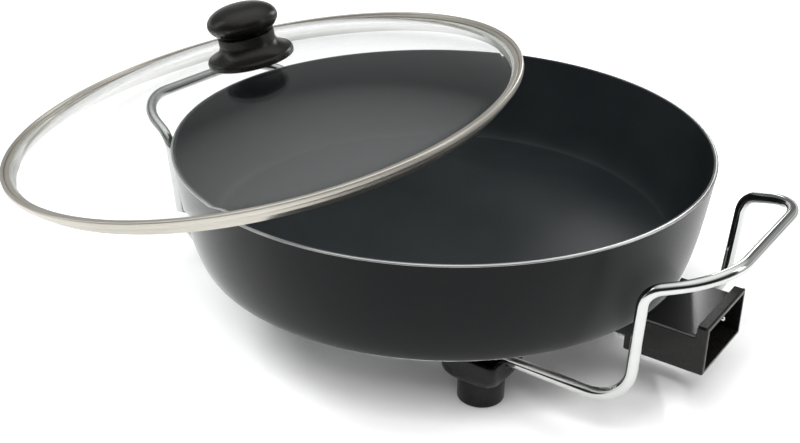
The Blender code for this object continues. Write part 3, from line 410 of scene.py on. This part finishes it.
# A lighter copy of the coating for the inside, so that the inside renders brighter than the outer wall:
# painted light.
INNER_COATING_PAINTED_LIGHT = coating_material("look_inner_coating_painted_light", (0.0078, 0.0096, 0.0106),
                                 (0.0108, 0.0130, 0.0140), (0.034, 0.038, 0.042), 1.22, 0.0)
# A paler, less metallic copy of the band's steel for its inner side, so that it renders brighter through
# the glass: painted light.
BAND_INNER_PAINTED_PALE = band_material("look_band_inner_painted_light", (0.62, 0.61, 0.58), (0.70, 0.69, 0.66), 0.15)
# A darker copy of the bare aluminium for the rim, so that the rim's bright line renders dimmer: painted
# shade.
RIM_METAL_PAINTED_DIM = turned_metal_material("look_rim_metal_painted_shade", (0.46, 0.46, 0.46), (0.66, 0.66, 0.66), 0.30)


# Shape helpers

def between(first, last, sweep, share):
    """The arm of an arc, turned from the first to the last by a share of the sweep between them."""
    return (first * math.sin((1 - share) * sweep) + last * math.sin(share * sweep)) / math.sin(sweep)


def rounded(corners):
    """An outline through (radius, height, rounding) corners, each with its own arc; its ends stay sharp."""
    path = [tuple(corners[0][:2])]
    for before, corner, after in zip(corners, corners[1:], corners[2:]):
        here = Vector(corner[:2])
        if corner[2] <= 0:
            path.append(tuple(here))
            continue
        back = (Vector(before[:2]) - here).normalized()
        ahead = (Vector(after[:2]) - here).normalized()
        half = back.angle(ahead) / 2
        centre = here + (back + ahead).normalized() * corner[2] / math.sin(half)
        first = here + back * corner[2] / math.tan(half) - centre
        last = here + ahead * corner[2] / math.tan(half) - centre
        sweep = first.angle(last)
        for step in range(ROUNDING_STEPS + 1):
            path.append(tuple(centre + between(first, last, sweep, step / ROUNDING_STEPS)))
    path.append(tuple(corners[-1][:2]))
    return path


def curved(points):
    """A smooth line through the points."""
    points = [Vector(point) for point in points]
    ends = [2 * points[0] - points[1]] + points + [2 * points[-1] - points[-2]]
    line = []
    for a, b, c, d in zip(ends, ends[1:], ends[2:], ends[3:]):
        for step in range(CURVE_STEPS):
            t = step / CURVE_STEPS
            line.append(tuple(0.5 * (2 * b + (c - a) * t + (2 * a - 5 * b + 4 * c - d) * t ** 2 +
                                     (3 * b - a - 3 * c + d) * t ** 3)))
    line.append(tuple(points[-1]))
    return line


def shade(mesh):
    mesh.shade_smooth()
    mesh.set_sharp_from_angle(angle=SHARP_ANGLE)


def place_piece(name, mesh, place, body, node_name):
    """Put a mesh where its CAD node is and in that node's body, and hide the node."""
    mesh.transform(place)
    piece = bpy.data.objects.new(name, mesh)
    bpy.context.scene.collection.objects.link(piece)
    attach(piece, body)
    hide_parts(node_name)


def turned(name, stretches, steps):
    """A turned mesh. Each stretch is (material, points) and starts where the one before it ends."""
    points, owners = [stretches[0][1][0]], []
    for index, (_, stretch) in enumerate(stretches):
        for point in stretch[1:]:
            points.append(point)
            owners.append(index)
    closed = (Vector(points[0]) - Vector(points[-1])).length < WELD_DISTANCE
    shape = bmesh.new()
    rings = []
    for radius, height in (points[:-1] if closed else points):
        if radius < WELD_DISTANCE:
            rings.append([shape.verts.new((0, 0, height))])
        else:
            rings.append([shape.verts.new((radius * math.cos(2 * math.pi * step / steps),
                                           radius * math.sin(2 * math.pi * step / steps), height))
                          for step in range(steps)])
    if closed:
        rings.append(rings[0])
    for owner, first, second in zip(owners, rings, rings[1:]):
        for step in range(steps):
            after = (step + 1) % steps
            corners = []
            for ring, number in ((first, step), (first, after), (second, after), (second, step)):
                corner = ring[number % len(ring)]
                if corner not in corners:
                    corners.append(corner)
            shape.faces.new(corners).material_index = owner
    bmesh.ops.recalc_face_normals(shape, faces=shape.faces)
    mesh = bpy.data.meshes.new(name)
    shape.to_mesh(mesh)
    shape.free()
    for material, _ in stretches:
        mesh.materials.append(material)
    shade(mesh)
    return mesh


# Pan

def wall_radius(start, end, share):
    return start + (end - start) * share ** WALL_POWER


def make_pan():
    """The coated shell, with bare metal on the outer side of the rim and on its underside."""
    coat = LOOKS["nonstick_coating"]
    samples = [(step / WALL_STEPS) ** 2 for step in range(WALL_STEPS)]
    rim_inner = RIM_RADIUS - RIM_WALL
    inner = [(0, COOKING_FLOOR)]
    inner += [(COOKING_FLOOR_RADIUS * share, COOKING_FLOOR) for share in (0.25, 0.5, 0.75, 0.9)]
    inner += [(wall_radius(COOKING_FLOOR_RADIUS, rim_inner, share),
               COOKING_FLOOR + (RIM_HEIGHT - COOKING_FLOOR) * share)
              for share in samples if share < WALL_TOP_SHARE]
    rounding = RIM_ROUNDING * 0.98
    rim_outline = rounded([(rim_inner, RIM_HEIGHT - RIM_ROUNDING, 0), (rim_inner, RIM_HEIGHT, rounding),
                           (RIM_RADIUS, RIM_HEIGHT, rounding), (RIM_RADIUS, RIM_HEIGHT - RIM_ROUNDING, 0)])
    metal_from = len(rim_outline) // 2
    inner += rim_outline[:metal_from] + [(RIM_RADIUS - RIM_ROUNDING * 1.6, RIM_HEIGHT)]
    # The rim's metal is a darker copy of the bare aluminium: painted shade.
    rim = [inner[-1]] + rim_outline[metal_from:]
    lowest = (PAN_UNDERSIDE - BASE_HEIGHT) / (RIM_HEIGHT - BASE_HEIGHT)
    outer = [rim[-1]]
    for share in reversed(samples):
        share = lowest + (1 - lowest) * share
        if share < WALL_TOP_SHARE:
            outer.append((wall_radius(BASE_RADIUS, RIM_RADIUS, share),
                          BASE_HEIGHT + (RIM_HEIGHT - BASE_HEIGHT) * share))
    under = [outer[-1], (outer[-1][0] - UNDERSIDE_EDGE, PAN_UNDERSIDE), (UNDERSIDE_RING, PAN_UNDERSIDE),
             (0, PAN_UNDERSIDE)]
    # The inside's coating is a lighter copy of the outer one: painted light.
    mesh = turned("pan_shell", [(INNER_COATING_PAINTED_LIGHT, inner), (RIM_METAL_PAINTED_DIM, rim), (coat, outer),
                                (LOOKS["bare_aluminium"], under)], PAN_STEPS)
    place_piece("pan_shell", mesh, PAN_PLACE, "pan", "pan_body")


# Lid

def dome(radius, top):
    """Height of the glass at a radius, for a dome with that top."""
    sphere = (GLASS_FLAT_RADIUS ** 2 + GLASS_RISE ** 2) / (2 * GLASS_RISE)
    return top - sphere + math.sqrt(sphere ** 2 - radius ** 2)


def make_glass():
    """The domed glass with its rounded edge and the hole for the knob's screw."""
    radii = [GLASS_HOLE_RADIUS + (GLASS_FLAT_RADIUS - GLASS_HOLE_RADIUS) * step / GLASS_STEPS
             for step in range(GLASS_STEPS + 1)]
    outer = [(radius, dome(radius, GLASS_TOP)) for radius in radii]
    inner = [(radius, dome(radius, GLASS_TOP - GLASS_THICKNESS)) for radius in reversed(radii)]
    edge = rounded([outer[-1], (GLASS_EDGE_RADIUS, GLASS_EDGE_TOP, GLASS_EDGE_ROUNDING),
                    (GLASS_EDGE_RADIUS, GLASS_EDGE_TOP - GLASS_THICKNESS, GLASS_EDGE_ROUNDING), inner[0]])
    outline = outer + edge[1:] + inner[1:] + [outer[0]]
    mesh = turned("lid_dome", [(LOOKS["clear_glass"], outline)], LID_STEPS)
    place_piece("lid_dome", mesh, LID_PLACE, "lid", "lid_glass")


def make_band():
    """The folded band. Its inner side, seen through the glass, gets a paler, less metallic copy of the
    steel so that it renders brighter: painted light.
    """
    outer_side = rounded(BAND_OUTLINE[:BAND_TIP + 1])
    inner_side = rounded(BAND_OUTLINE[BAND_TIP:])
    mesh = turned("lid_ring", [(LOOKS["satin_steel"], outer_side), (BAND_INNER_PAINTED_PALE, inner_side)], LID_STEPS)
    place_piece("lid_ring", mesh, LID_PLACE, "lid", "lid_band")


def make_knob():
    """The knob's bell-shaped base and the cap over it, with a dark gap between them."""
    black = LOOKS["satin_black_plastic"]
    waist, flange = KNOB_WAIST_RADIUS, KNOB_FLANGE_RADIUS
    rise = KNOB_WAIST_TOP - KNOB_BOTTOM - KNOB_FLANGE_HEIGHT
    turns = [math.pi / 2 * step / BELL_STEPS for step in range(BELL_STEPS)]
    bell = [(waist + (flange - waist) * BELL_REACH * (1 - math.cos(turn)),
             KNOB_BOTTOM + KNOB_FLANGE_HEIGHT + rise * BELL_RISE * (1 - math.sin(turn)) ** BELL_POWER)
            for turn in turns]
    drop = GLASS_TOP - dome(flange, GLASS_TOP)
    recess_top, bore_top = KNOB_BOTTOM + KNOB_RECESS_DEPTH, KNOB_BOTTOM + KNOB_BORE_DEPTH
    foot = rounded([bell[-1] + (0,), (flange, KNOB_BOTTOM + KNOB_FLANGE_EDGE, 0.0006),
                    (flange, KNOB_BOTTOM - drop, 0.0003), (KNOB_RECESS_RADIUS, KNOB_BOTTOM, 0),
                    (KNOB_RECESS_RADIUS, recess_top, 0), (KNOB_BORE_RADIUS, recess_top, 0),
                    (KNOB_BORE_RADIUS, bore_top, 0), (0, bore_top, 0)])
    neck_top = KNOB_WAIST_TOP + KNOB_NECK_HEIGHT
    neck = rounded([(0, neck_top, 0), (KNOB_NECK_RADIUS, neck_top, 0.0002),
                    (KNOB_NECK_RADIUS, KNOB_WAIST_TOP, 0.0002), (waist, KNOB_WAIST_TOP, 0.0005),
                    (waist, KNOB_WAIST_TOP - 0.001, 0)])
    mesh = turned("knob_body", [(black, neck[:-1] + bell + foot[1:])], KNOB_STEPS)
    place_piece("knob_body", mesh, LID_PLACE, "lid", "knob_base")

    bottom = neck_top + CAP_GAP
    cap = curved([(CAP_RADIUS * wide, bottom + CAP_HEIGHT * tall) for wide, tall in CAP_PROFILE])
    mesh = turned("knob_dome", [(black, cap + [(0, bottom)])], KNOB_STEPS)
    place_piece("knob_dome", mesh, LID_PLACE, "lid", "knob_cap")


# Handles

def bent_path(corners, radii):
    """Points along a wire through the corners, with an arc of its own radius at each inner corner."""
    corners = [Vector(corner) for corner in corners]
    path = [corners[0]]
    for before, corner, after, radius in zip(corners, corners[1:], corners[2:], radii):
        back = (before - corner).normalized()
        ahead = (after - corner).normalized()
        half = back.angle(ahead) / 2
        centre = corner + (back + ahead).normalized() * radius / math.sin(half)
        first = corner + back * radius / math.tan(half) - centre
        last = corner + ahead * radius / math.tan(half) - centre
        sweep = first.angle(last)
        for step in range(BEND_STEPS + 1):
            path.append(centre + between(first, last, sweep, step / BEND_STEPS))
    path.append(corners[-1])
    return path


def make_handles():
    """Each handle is one wire swept along its bent path."""
    for word, side in (("left", -1), ("right", 1)):
        front = [(side * x, -y, z) for x, y, z in HANDLE_CORNERS]
        back = [(side * x, y, z) for x, y, z in reversed(HANDLE_CORNERS)]
        path = bent_path(front + back, HANDLE_BENDS + HANDLE_BENDS[::-1])
        curve = bpy.data.curves.new(f"wire_{word}", 'CURVE')
        curve.dimensions = '3D'
        curve.bevel_depth = WIRE_RADIUS
        curve.bevel_resolution = 6
        curve.use_fill_caps = True
        spline = curve.splines.new('POLY')
        spline.points.add(len(path) - 1)
        for point, spot in zip(spline.points, path):
            point.co = (*spot, 1.0)
        holder = bpy.data.objects.new("wire_holder", curve)
        bpy.context.scene.collection.objects.link(holder)
        bpy.context.view_layer.update()
        mesh = bpy.data.meshes.new_from_object(holder.evaluated_get(bpy.context.evaluated_depsgraph_get()))
        bpy.data.objects.remove(holder)
        mesh.materials.clear()
        mesh.materials.append(LOOKS["chromed_steel"])
        shade(mesh)
        place_piece(f"wire_{word}", mesh, PAN_PLACE, "pan", f"handle_{word}")


# Feet

def rounded_square(half, corner, sides):
    """Points round a square with rounded corners; a corner as large as the half gives a circle."""
    points = []
    straight = half - corner
    for step in range(sides):
        angle = 2 * math.pi * (step + 0.5) / sides
        direction = Vector((math.cos(angle), math.sin(angle)))
        larger = max(abs(direction.x), abs(direction.y))
        smaller = min(abs(direction.x), abs(direction.y))
        reach = half / larger
        if smaller * reach > straight:
            middle = straight * (larger + smaller)
            reach = middle + math.sqrt(middle ** 2 - 2 * straight ** 2 + corner ** 2)
        points.append(direction * reach)
    return points


def loft(name, sections, sides):
    """A closed mesh through (height, half width, corner radius) sections."""
    shape = bmesh.new()
    rings = [[shape.verts.new((*point, height)) for point in rounded_square(half, corner, sides)]
             for height, half, corner in sections]
    for lower, upper in zip(rings, rings[1:]):
        for step in range(sides):
            after = (step + 1) % sides
            shape.faces.new((lower[step], lower[after], upper[after], upper[step]))
    shape.faces.new(list(reversed(rings[0])))
    shape.faces.new(rings[-1])
    bmesh.ops.recalc_face_normals(shape, faces=shape.faces)
    mesh = bpy.data.meshes.new(name)
    shape.to_mesh(mesh)
    shape.free()
    return mesh


def rod(name, start, end, radius, end_radius, sides):
    """A closed round bar between two points, straight or tapered."""
    start, end = Vector(start), Vector(end)
    shape = bmesh.new()
    bmesh.ops.create_cone(shape, cap_ends=True, segments=sides, radius1=radius, radius2=end_radius,
                          depth=(end - start).length)
    turn = (end - start).to_track_quat('Z', 'Y').to_matrix().to_4x4()
    bmesh.ops.transform(shape, matrix=Matrix.Translation((start + end) / 2) @ turn, verts=shape.verts)
    mesh = bpy.data.meshes.new(name)
    shape.to_mesh(mesh)
    shape.free()
    return mesh


def foot_mesh():
    """A round pad that widens into a square cup, with its column, pocket, screw bore and wire slot."""
    sections = [(0, PAD_RADIUS - PAD_EDGE, PAD_RADIUS - PAD_EDGE)]
    for step in range(PAD_EDGE_STEPS):
        turn = math.pi / 2 * (step + 1) / PAD_EDGE_STEPS
        reach = PAD_RADIUS - PAD_EDGE + PAD_EDGE * math.sin(turn)
        sections.append((PAD_EDGE - PAD_EDGE * math.cos(turn), reach, reach))
    sections.append((PAD_HEIGHT, PAD_RADIUS, PAD_RADIUS))
    for step in range(BOWL_STEPS + 1):
        share = math.sin(math.pi / 2 * step / BOWL_STEPS)
        lift = 1 - math.sqrt(1 - min(1.0, share) ** 2)
        sections.append((PAD_HEIGHT + BOWL_HEIGHT * lift + 0.0003,
                         CUP_SHOULDER + (CUP_HALF - CUP_SHOULDER) * share,
                         CUP_SHOULDER + (CUP_CORNER - CUP_SHOULDER) * share))
    for drop, inset in ((1.0, 0.0), (0.25, 0.3), (0.0, 1.0)):
        sections.append((CUP_TOP - CUP_LIP * drop, CUP_HALF - CUP_LIP * inset, CUP_CORNER))
    foot = bpy.data.objects.new("foot_pattern", loft("foot_pattern", sections, FOOT_SIDES))
    inner = CUP_HALF - CUP_WALL
    hole = WIRE_RADIUS + WIRE_CLEARANCE
    bowl_top = PAD_HEIGHT + BOWL_HEIGHT
    slot_shape = bmesh.new()
    bmesh.ops.create_cube(slot_shape, size=1.0)
    for corner in slot_shape.verts:
        corner.co.x = COLUMN_RADIUS if corner.co.x < 0 else CUP_HALF + CUT_OVERRUN
        corner.co.y = hole * (1 if corner.co.y > 0 else -1)
        corner.co.z = WIRE_RUN_HEIGHT if corner.co.z < 0 else CUP_TOP + CUT_OVERRUN
    wire_slot = bpy.data.meshes.new("foot_slot")
    slot_shape.to_mesh(wire_slot)
    slot_shape.free()
    pocket = [(CUP_FLOOR, PAD_RADIUS - 0.0003, PAD_RADIUS - 0.0003),
              (bowl_top, inner, CUP_CORNER - CUP_WALL),
              (CUP_TOP + CUT_OVERRUN, inner, CUP_CORNER - CUP_WALL)]
    tools = [
        (loft("foot_pocket", pocket, FOOT_SIDES), 'DIFFERENCE'),
        (rod("foot_column", (0, 0, CUP_FLOOR - CUP_WALL), (0, 0, COLUMN_TOP), COLUMN_RADIUS,
             COLUMN_TOP_RADIUS, 48), 'UNION'),
        (rod("foot_bore", (0, 0, -CUT_OVERRUN), (0, 0, COLUMN_TOP + CUT_OVERRUN), SCREW_BORE_RADIUS,
             SCREW_BORE_RADIUS, 32), 'DIFFERENCE'),
        (rod("foot_counterbore", (0, 0, -CUT_OVERRUN), (0, 0, COUNTERBORE_DEPTH), COUNTERBORE_RADIUS,
             COUNTERBORE_RADIUS, 32), 'DIFFERENCE'),
        (rod("foot_wire_hole", (0.004, 0, WIRE_RUN_HEIGHT), (CUP_HALF + CUT_OVERRUN, 0, WIRE_RUN_HEIGHT),
             hole, hole, 32), 'DIFFERENCE'),
        (wire_slot, 'DIFFERENCE'),
    ]
    helpers = [foot]
    bpy.context.scene.collection.objects.link(foot)
    for mesh, operation in tools:
        tool = bpy.data.objects.new(mesh.name, mesh)
        bpy.context.scene.collection.objects.link(tool)
        helpers.append(tool)
        cut = foot.modifiers.new(mesh.name, 'BOOLEAN')
        cut.object = tool
        cut.operation = operation
        cut.solver = 'EXACT'
    bpy.context.view_layer.update()
    mesh = bpy.data.meshes.new_from_object(foot.evaluated_get(bpy.context.evaluated_depsgraph_get()))
    for helper in helpers:
        bpy.data.objects.remove(helper)
    mesh.materials.clear()
    mesh.materials.append(LOOKS["satin_black_plastic"])
    shade(mesh)
    return mesh


def make_feet():
    mesh = foot_mesh()
    for side_word, side_x in (("left", -1), ("right", 1)):
        for end_word, side_y in (("front", -1), ("back", 1)):
            name = f"{end_word}_{side_word}"
            turn = Matrix.Rotation(0 if side_x > 0 else math.pi, 4, 'Z')
            place = PAN_PLACE @ Matrix.Translation((side_x * FOOT_X, side_y * FOOT_Y, 0)) @ turn
            place_piece(f"stand_{name}", mesh.copy(), place, "pan", f"foot_{name}")


# CAD nodes that stay

def smoothing_group():
    """Shades a mesh smooth, but keeps its edges sharp where it turns by more than the sharp angle."""
    group = bpy.data.node_groups.new("smooth_by_angle", "GeometryNodeTree")
    group.interface.new_socket("Geometry", in_out='INPUT', socket_type="NodeSocketGeometry")
    group.interface.new_socket("Geometry", in_out='OUTPUT', socket_type="NodeSocketGeometry")
    source, result = group.nodes.new("NodeGroupInput"), group.nodes.new("NodeGroupOutput")
    faces = group.nodes.new("GeometryNodeSetShadeSmooth")
    faces.domain = 'FACE'
    edges = group.nodes.new("GeometryNodeSetShadeSmooth")
    edges.domain = 'EDGE'
    edges.inputs["Shade Smooth"].default_value = False
    angle = group.nodes.new("GeometryNodeInputMeshEdgeAngle")
    sharp = group.nodes.new("FunctionNodeCompare")
    sharp.data_type = 'FLOAT'
    sharp.operation = 'GREATER_THAN'
    sharp.inputs[1].default_value = SHARP_ANGLE
    group.links.new(source.outputs[0], faces.inputs["Geometry"])
    group.links.new(faces.outputs[0], edges.inputs["Geometry"])
    group.links.new(angle.outputs["Unsigned Angle"], sharp.inputs[0])
    group.links.new(sharp.outputs[0], edges.inputs["Selection"])
    group.links.new(edges.outputs[0], result.inputs[0])
    return group


def dress_nodes():
    """Give each CAD node that still shows its material, joined corners and smooth shading."""
    group = smoothing_group()
    slots = {part["node"]: part["material_slot"] for part in frame["record"]["subparts"]}
    for name, piece in frame["nodes"].items():
        if piece.hide_render:
            continue
        look = LOOKS[slots[name]]
        if not piece.data.materials:
            piece.data.materials.append(look)
        for number in range(len(piece.data.materials)):
            piece.data.materials[number] = look
        weld = piece.modifiers.new("Weld", 'WELD')
        weld.merge_threshold = WELD_DISTANCE
        piece.modifiers.new("Smooth", 'NODES').node_group = group
        weighted = piece.modifiers.new("Weighted", 'WEIGHTED_NORMAL')
        weighted.keep_sharp = True


# Floor, light and camera

def make_floor():
    """A pale floor that keeps the object's shadow and turns white away from it, but grey in reflections."""
    material = bpy.data.materials.new("studio_floor")
    material.use_nodes = True
    tree = material.node_tree
    shader = tree.nodes["Principled BSDF"]
    shader.inputs["Roughness"].default_value = 0.10
    shader.inputs["IOR"].default_value = 1.35
    place = node(tree, "TexCoord").outputs["Object"]
    away = node(tree, "VectorMath", {0: place, 1: SHADOW_CENTRE}, operation='DISTANCE').outputs["Value"]
    glow = spread(tree, away, *GLOW_BAND, 0.0, 1.0)
    tone = blend(tree, spread(tree, away, *DARK_BAND, 0.0, 1.0), FLOOR_PALE, FLOOR_DARK)
    tree.links.new(tone, shader.inputs["Base Color"])
    path = node(tree, "LightPath").outputs
    mirrored = math_node(tree, 'MULTIPLY', path["Is Glossy Ray"],
                         spread(tree, away, *MIRROR_BAND, *MIRROR_LEVELS))
    seen = math_node(tree, 'ADD', path["Is Camera Ray"],
                     math_node(tree, 'MAXIMUM', mirrored, path["Is Transmission Ray"]))
    strength = math_node(tree, 'MULTIPLY', glow, seen)
    light = node(tree, "Emission", {"Color": (1, 1, 1, 1), "Strength": strength})
    both = node(tree, "AddShader", {0: shader.outputs[0], 1: light.outputs[0]})
    tree.links.new(both.outputs[0], tree.nodes["Material Output"].inputs["Surface"])

    shape = bmesh.new()
    bmesh.ops.create_circle(shape, cap_ends=True, segments=96, radius=FLOOR_RADIUS)
    mesh = bpy.data.meshes.new("studio_floor")
    shape.to_mesh(mesh)
    shape.free()
    mesh.materials.append(material)
    floor = bpy.data.objects.new("studio_floor", mesh)
    bpy.context.scene.collection.objects.link(floor)
    floor.location = (0, 0, -FLOOR_DROP)


def make_world():
    """White to the camera. Gloss and glass see a dim room with a bright horizon and ceiling."""
    world = bpy.data.worlds.new("studio")
    bpy.context.scene.world = world
    world.use_nodes = True
    tree = world.node_tree
    path = node(tree, "LightPath").outputs
    direction = node(tree, "TexCoord").outputs["Generated"]
    near, right = (node(tree, "VectorMath", {0: direction, 1: side},
                        operation='DOT_PRODUCT').outputs["Value"] for side in (NEAR_SIDE, RIGHT_SIDE))
    height = node(tree, "SeparateXYZ", {0: direction}).outputs["Z"]
    horizon = math_node(tree, 'MAXIMUM', spread(tree, height, *HORIZON_BAND, 1.0, ROOM_LEVEL),
                        spread(tree, right, *RIGHT_BAND, 0.0, RIGHT_LEVEL))
    sides = math_node(tree, 'MULTIPLY', horizon, spread(tree, near, *NEAR_BAND, 1.0, NEAR_LEVEL))
    room = math_node(tree, 'ADD', sides, spread(tree, height, *CEILING_BAND, 0.0, CEILING_LEVEL))
    mirrored = math_node(tree, 'MINIMUM', math_node(tree, 'ADD', path["Is Glossy Ray"],
                                                    path["Is Transmission Ray"]), 1.0)
    seen = path["Is Camera Ray"]
    rest = math_node(tree, 'SUBTRACT', math_node(tree, 'SUBTRACT', 1.0, seen), mirrored)
    shown = math_node(tree, 'ADD', math_node(tree, 'MULTIPLY', mirrored, room),
                      math_node(tree, 'MULTIPLY', rest, SOFT_LEVEL))
    strength = math_node(tree, 'ADD', seen, shown)
    background = tree.nodes["Background"]
    background.inputs["Color"].default_value = (1, 1, 1, 1)
    tree.links.new(strength, background.inputs["Strength"])


def softbox(name, place, aim, width, height, radiance, only):
    """A rectangular lamp that lights everything, or only by gloss or by diffuse light."""
    lamp = bpy.data.lights.new(name, 'AREA')
    lamp.shape = 'RECTANGLE'
    lamp.size = width
    lamp.size_y = height
    lamp.energy = radiance * width * height * math.pi
    holder = bpy.data.objects.new(name, lamp)
    bpy.context.scene.collection.objects.link(holder)
    holder.location = place
    holder.rotation_euler = (Vector(aim) - Vector(place)).to_track_quat('-Z', 'Y').to_euler()
    holder.visible_camera = False
    holder.visible_transmission = False
    holder.visible_glossy = only != "diffuse"
    holder.visible_diffuse = only != "gloss"


def make_lights():
    for lamp in LAMPS:
        softbox(*lamp)


def make_camera():
    camera = bpy.data.cameras.new("camera")
    camera.lens = CAMERA_LENS
    camera.sensor_width = CAMERA_SENSOR
    holder = bpy.data.objects.new("camera", camera)
    bpy.context.scene.collection.objects.link(holder)
    holder.location = CAMERA_PLACE
    holder.rotation_euler = CAMERA_TURN
    bpy.context.scene.camera = holder


make_pan()
make_glass()
make_band()
make_knob()
make_handles()
make_feet()
dress_nodes()
make_floor()
make_world()
make_lights()
make_camera()
bpy.context.scene.view_settings.view_transform = 'Standard'
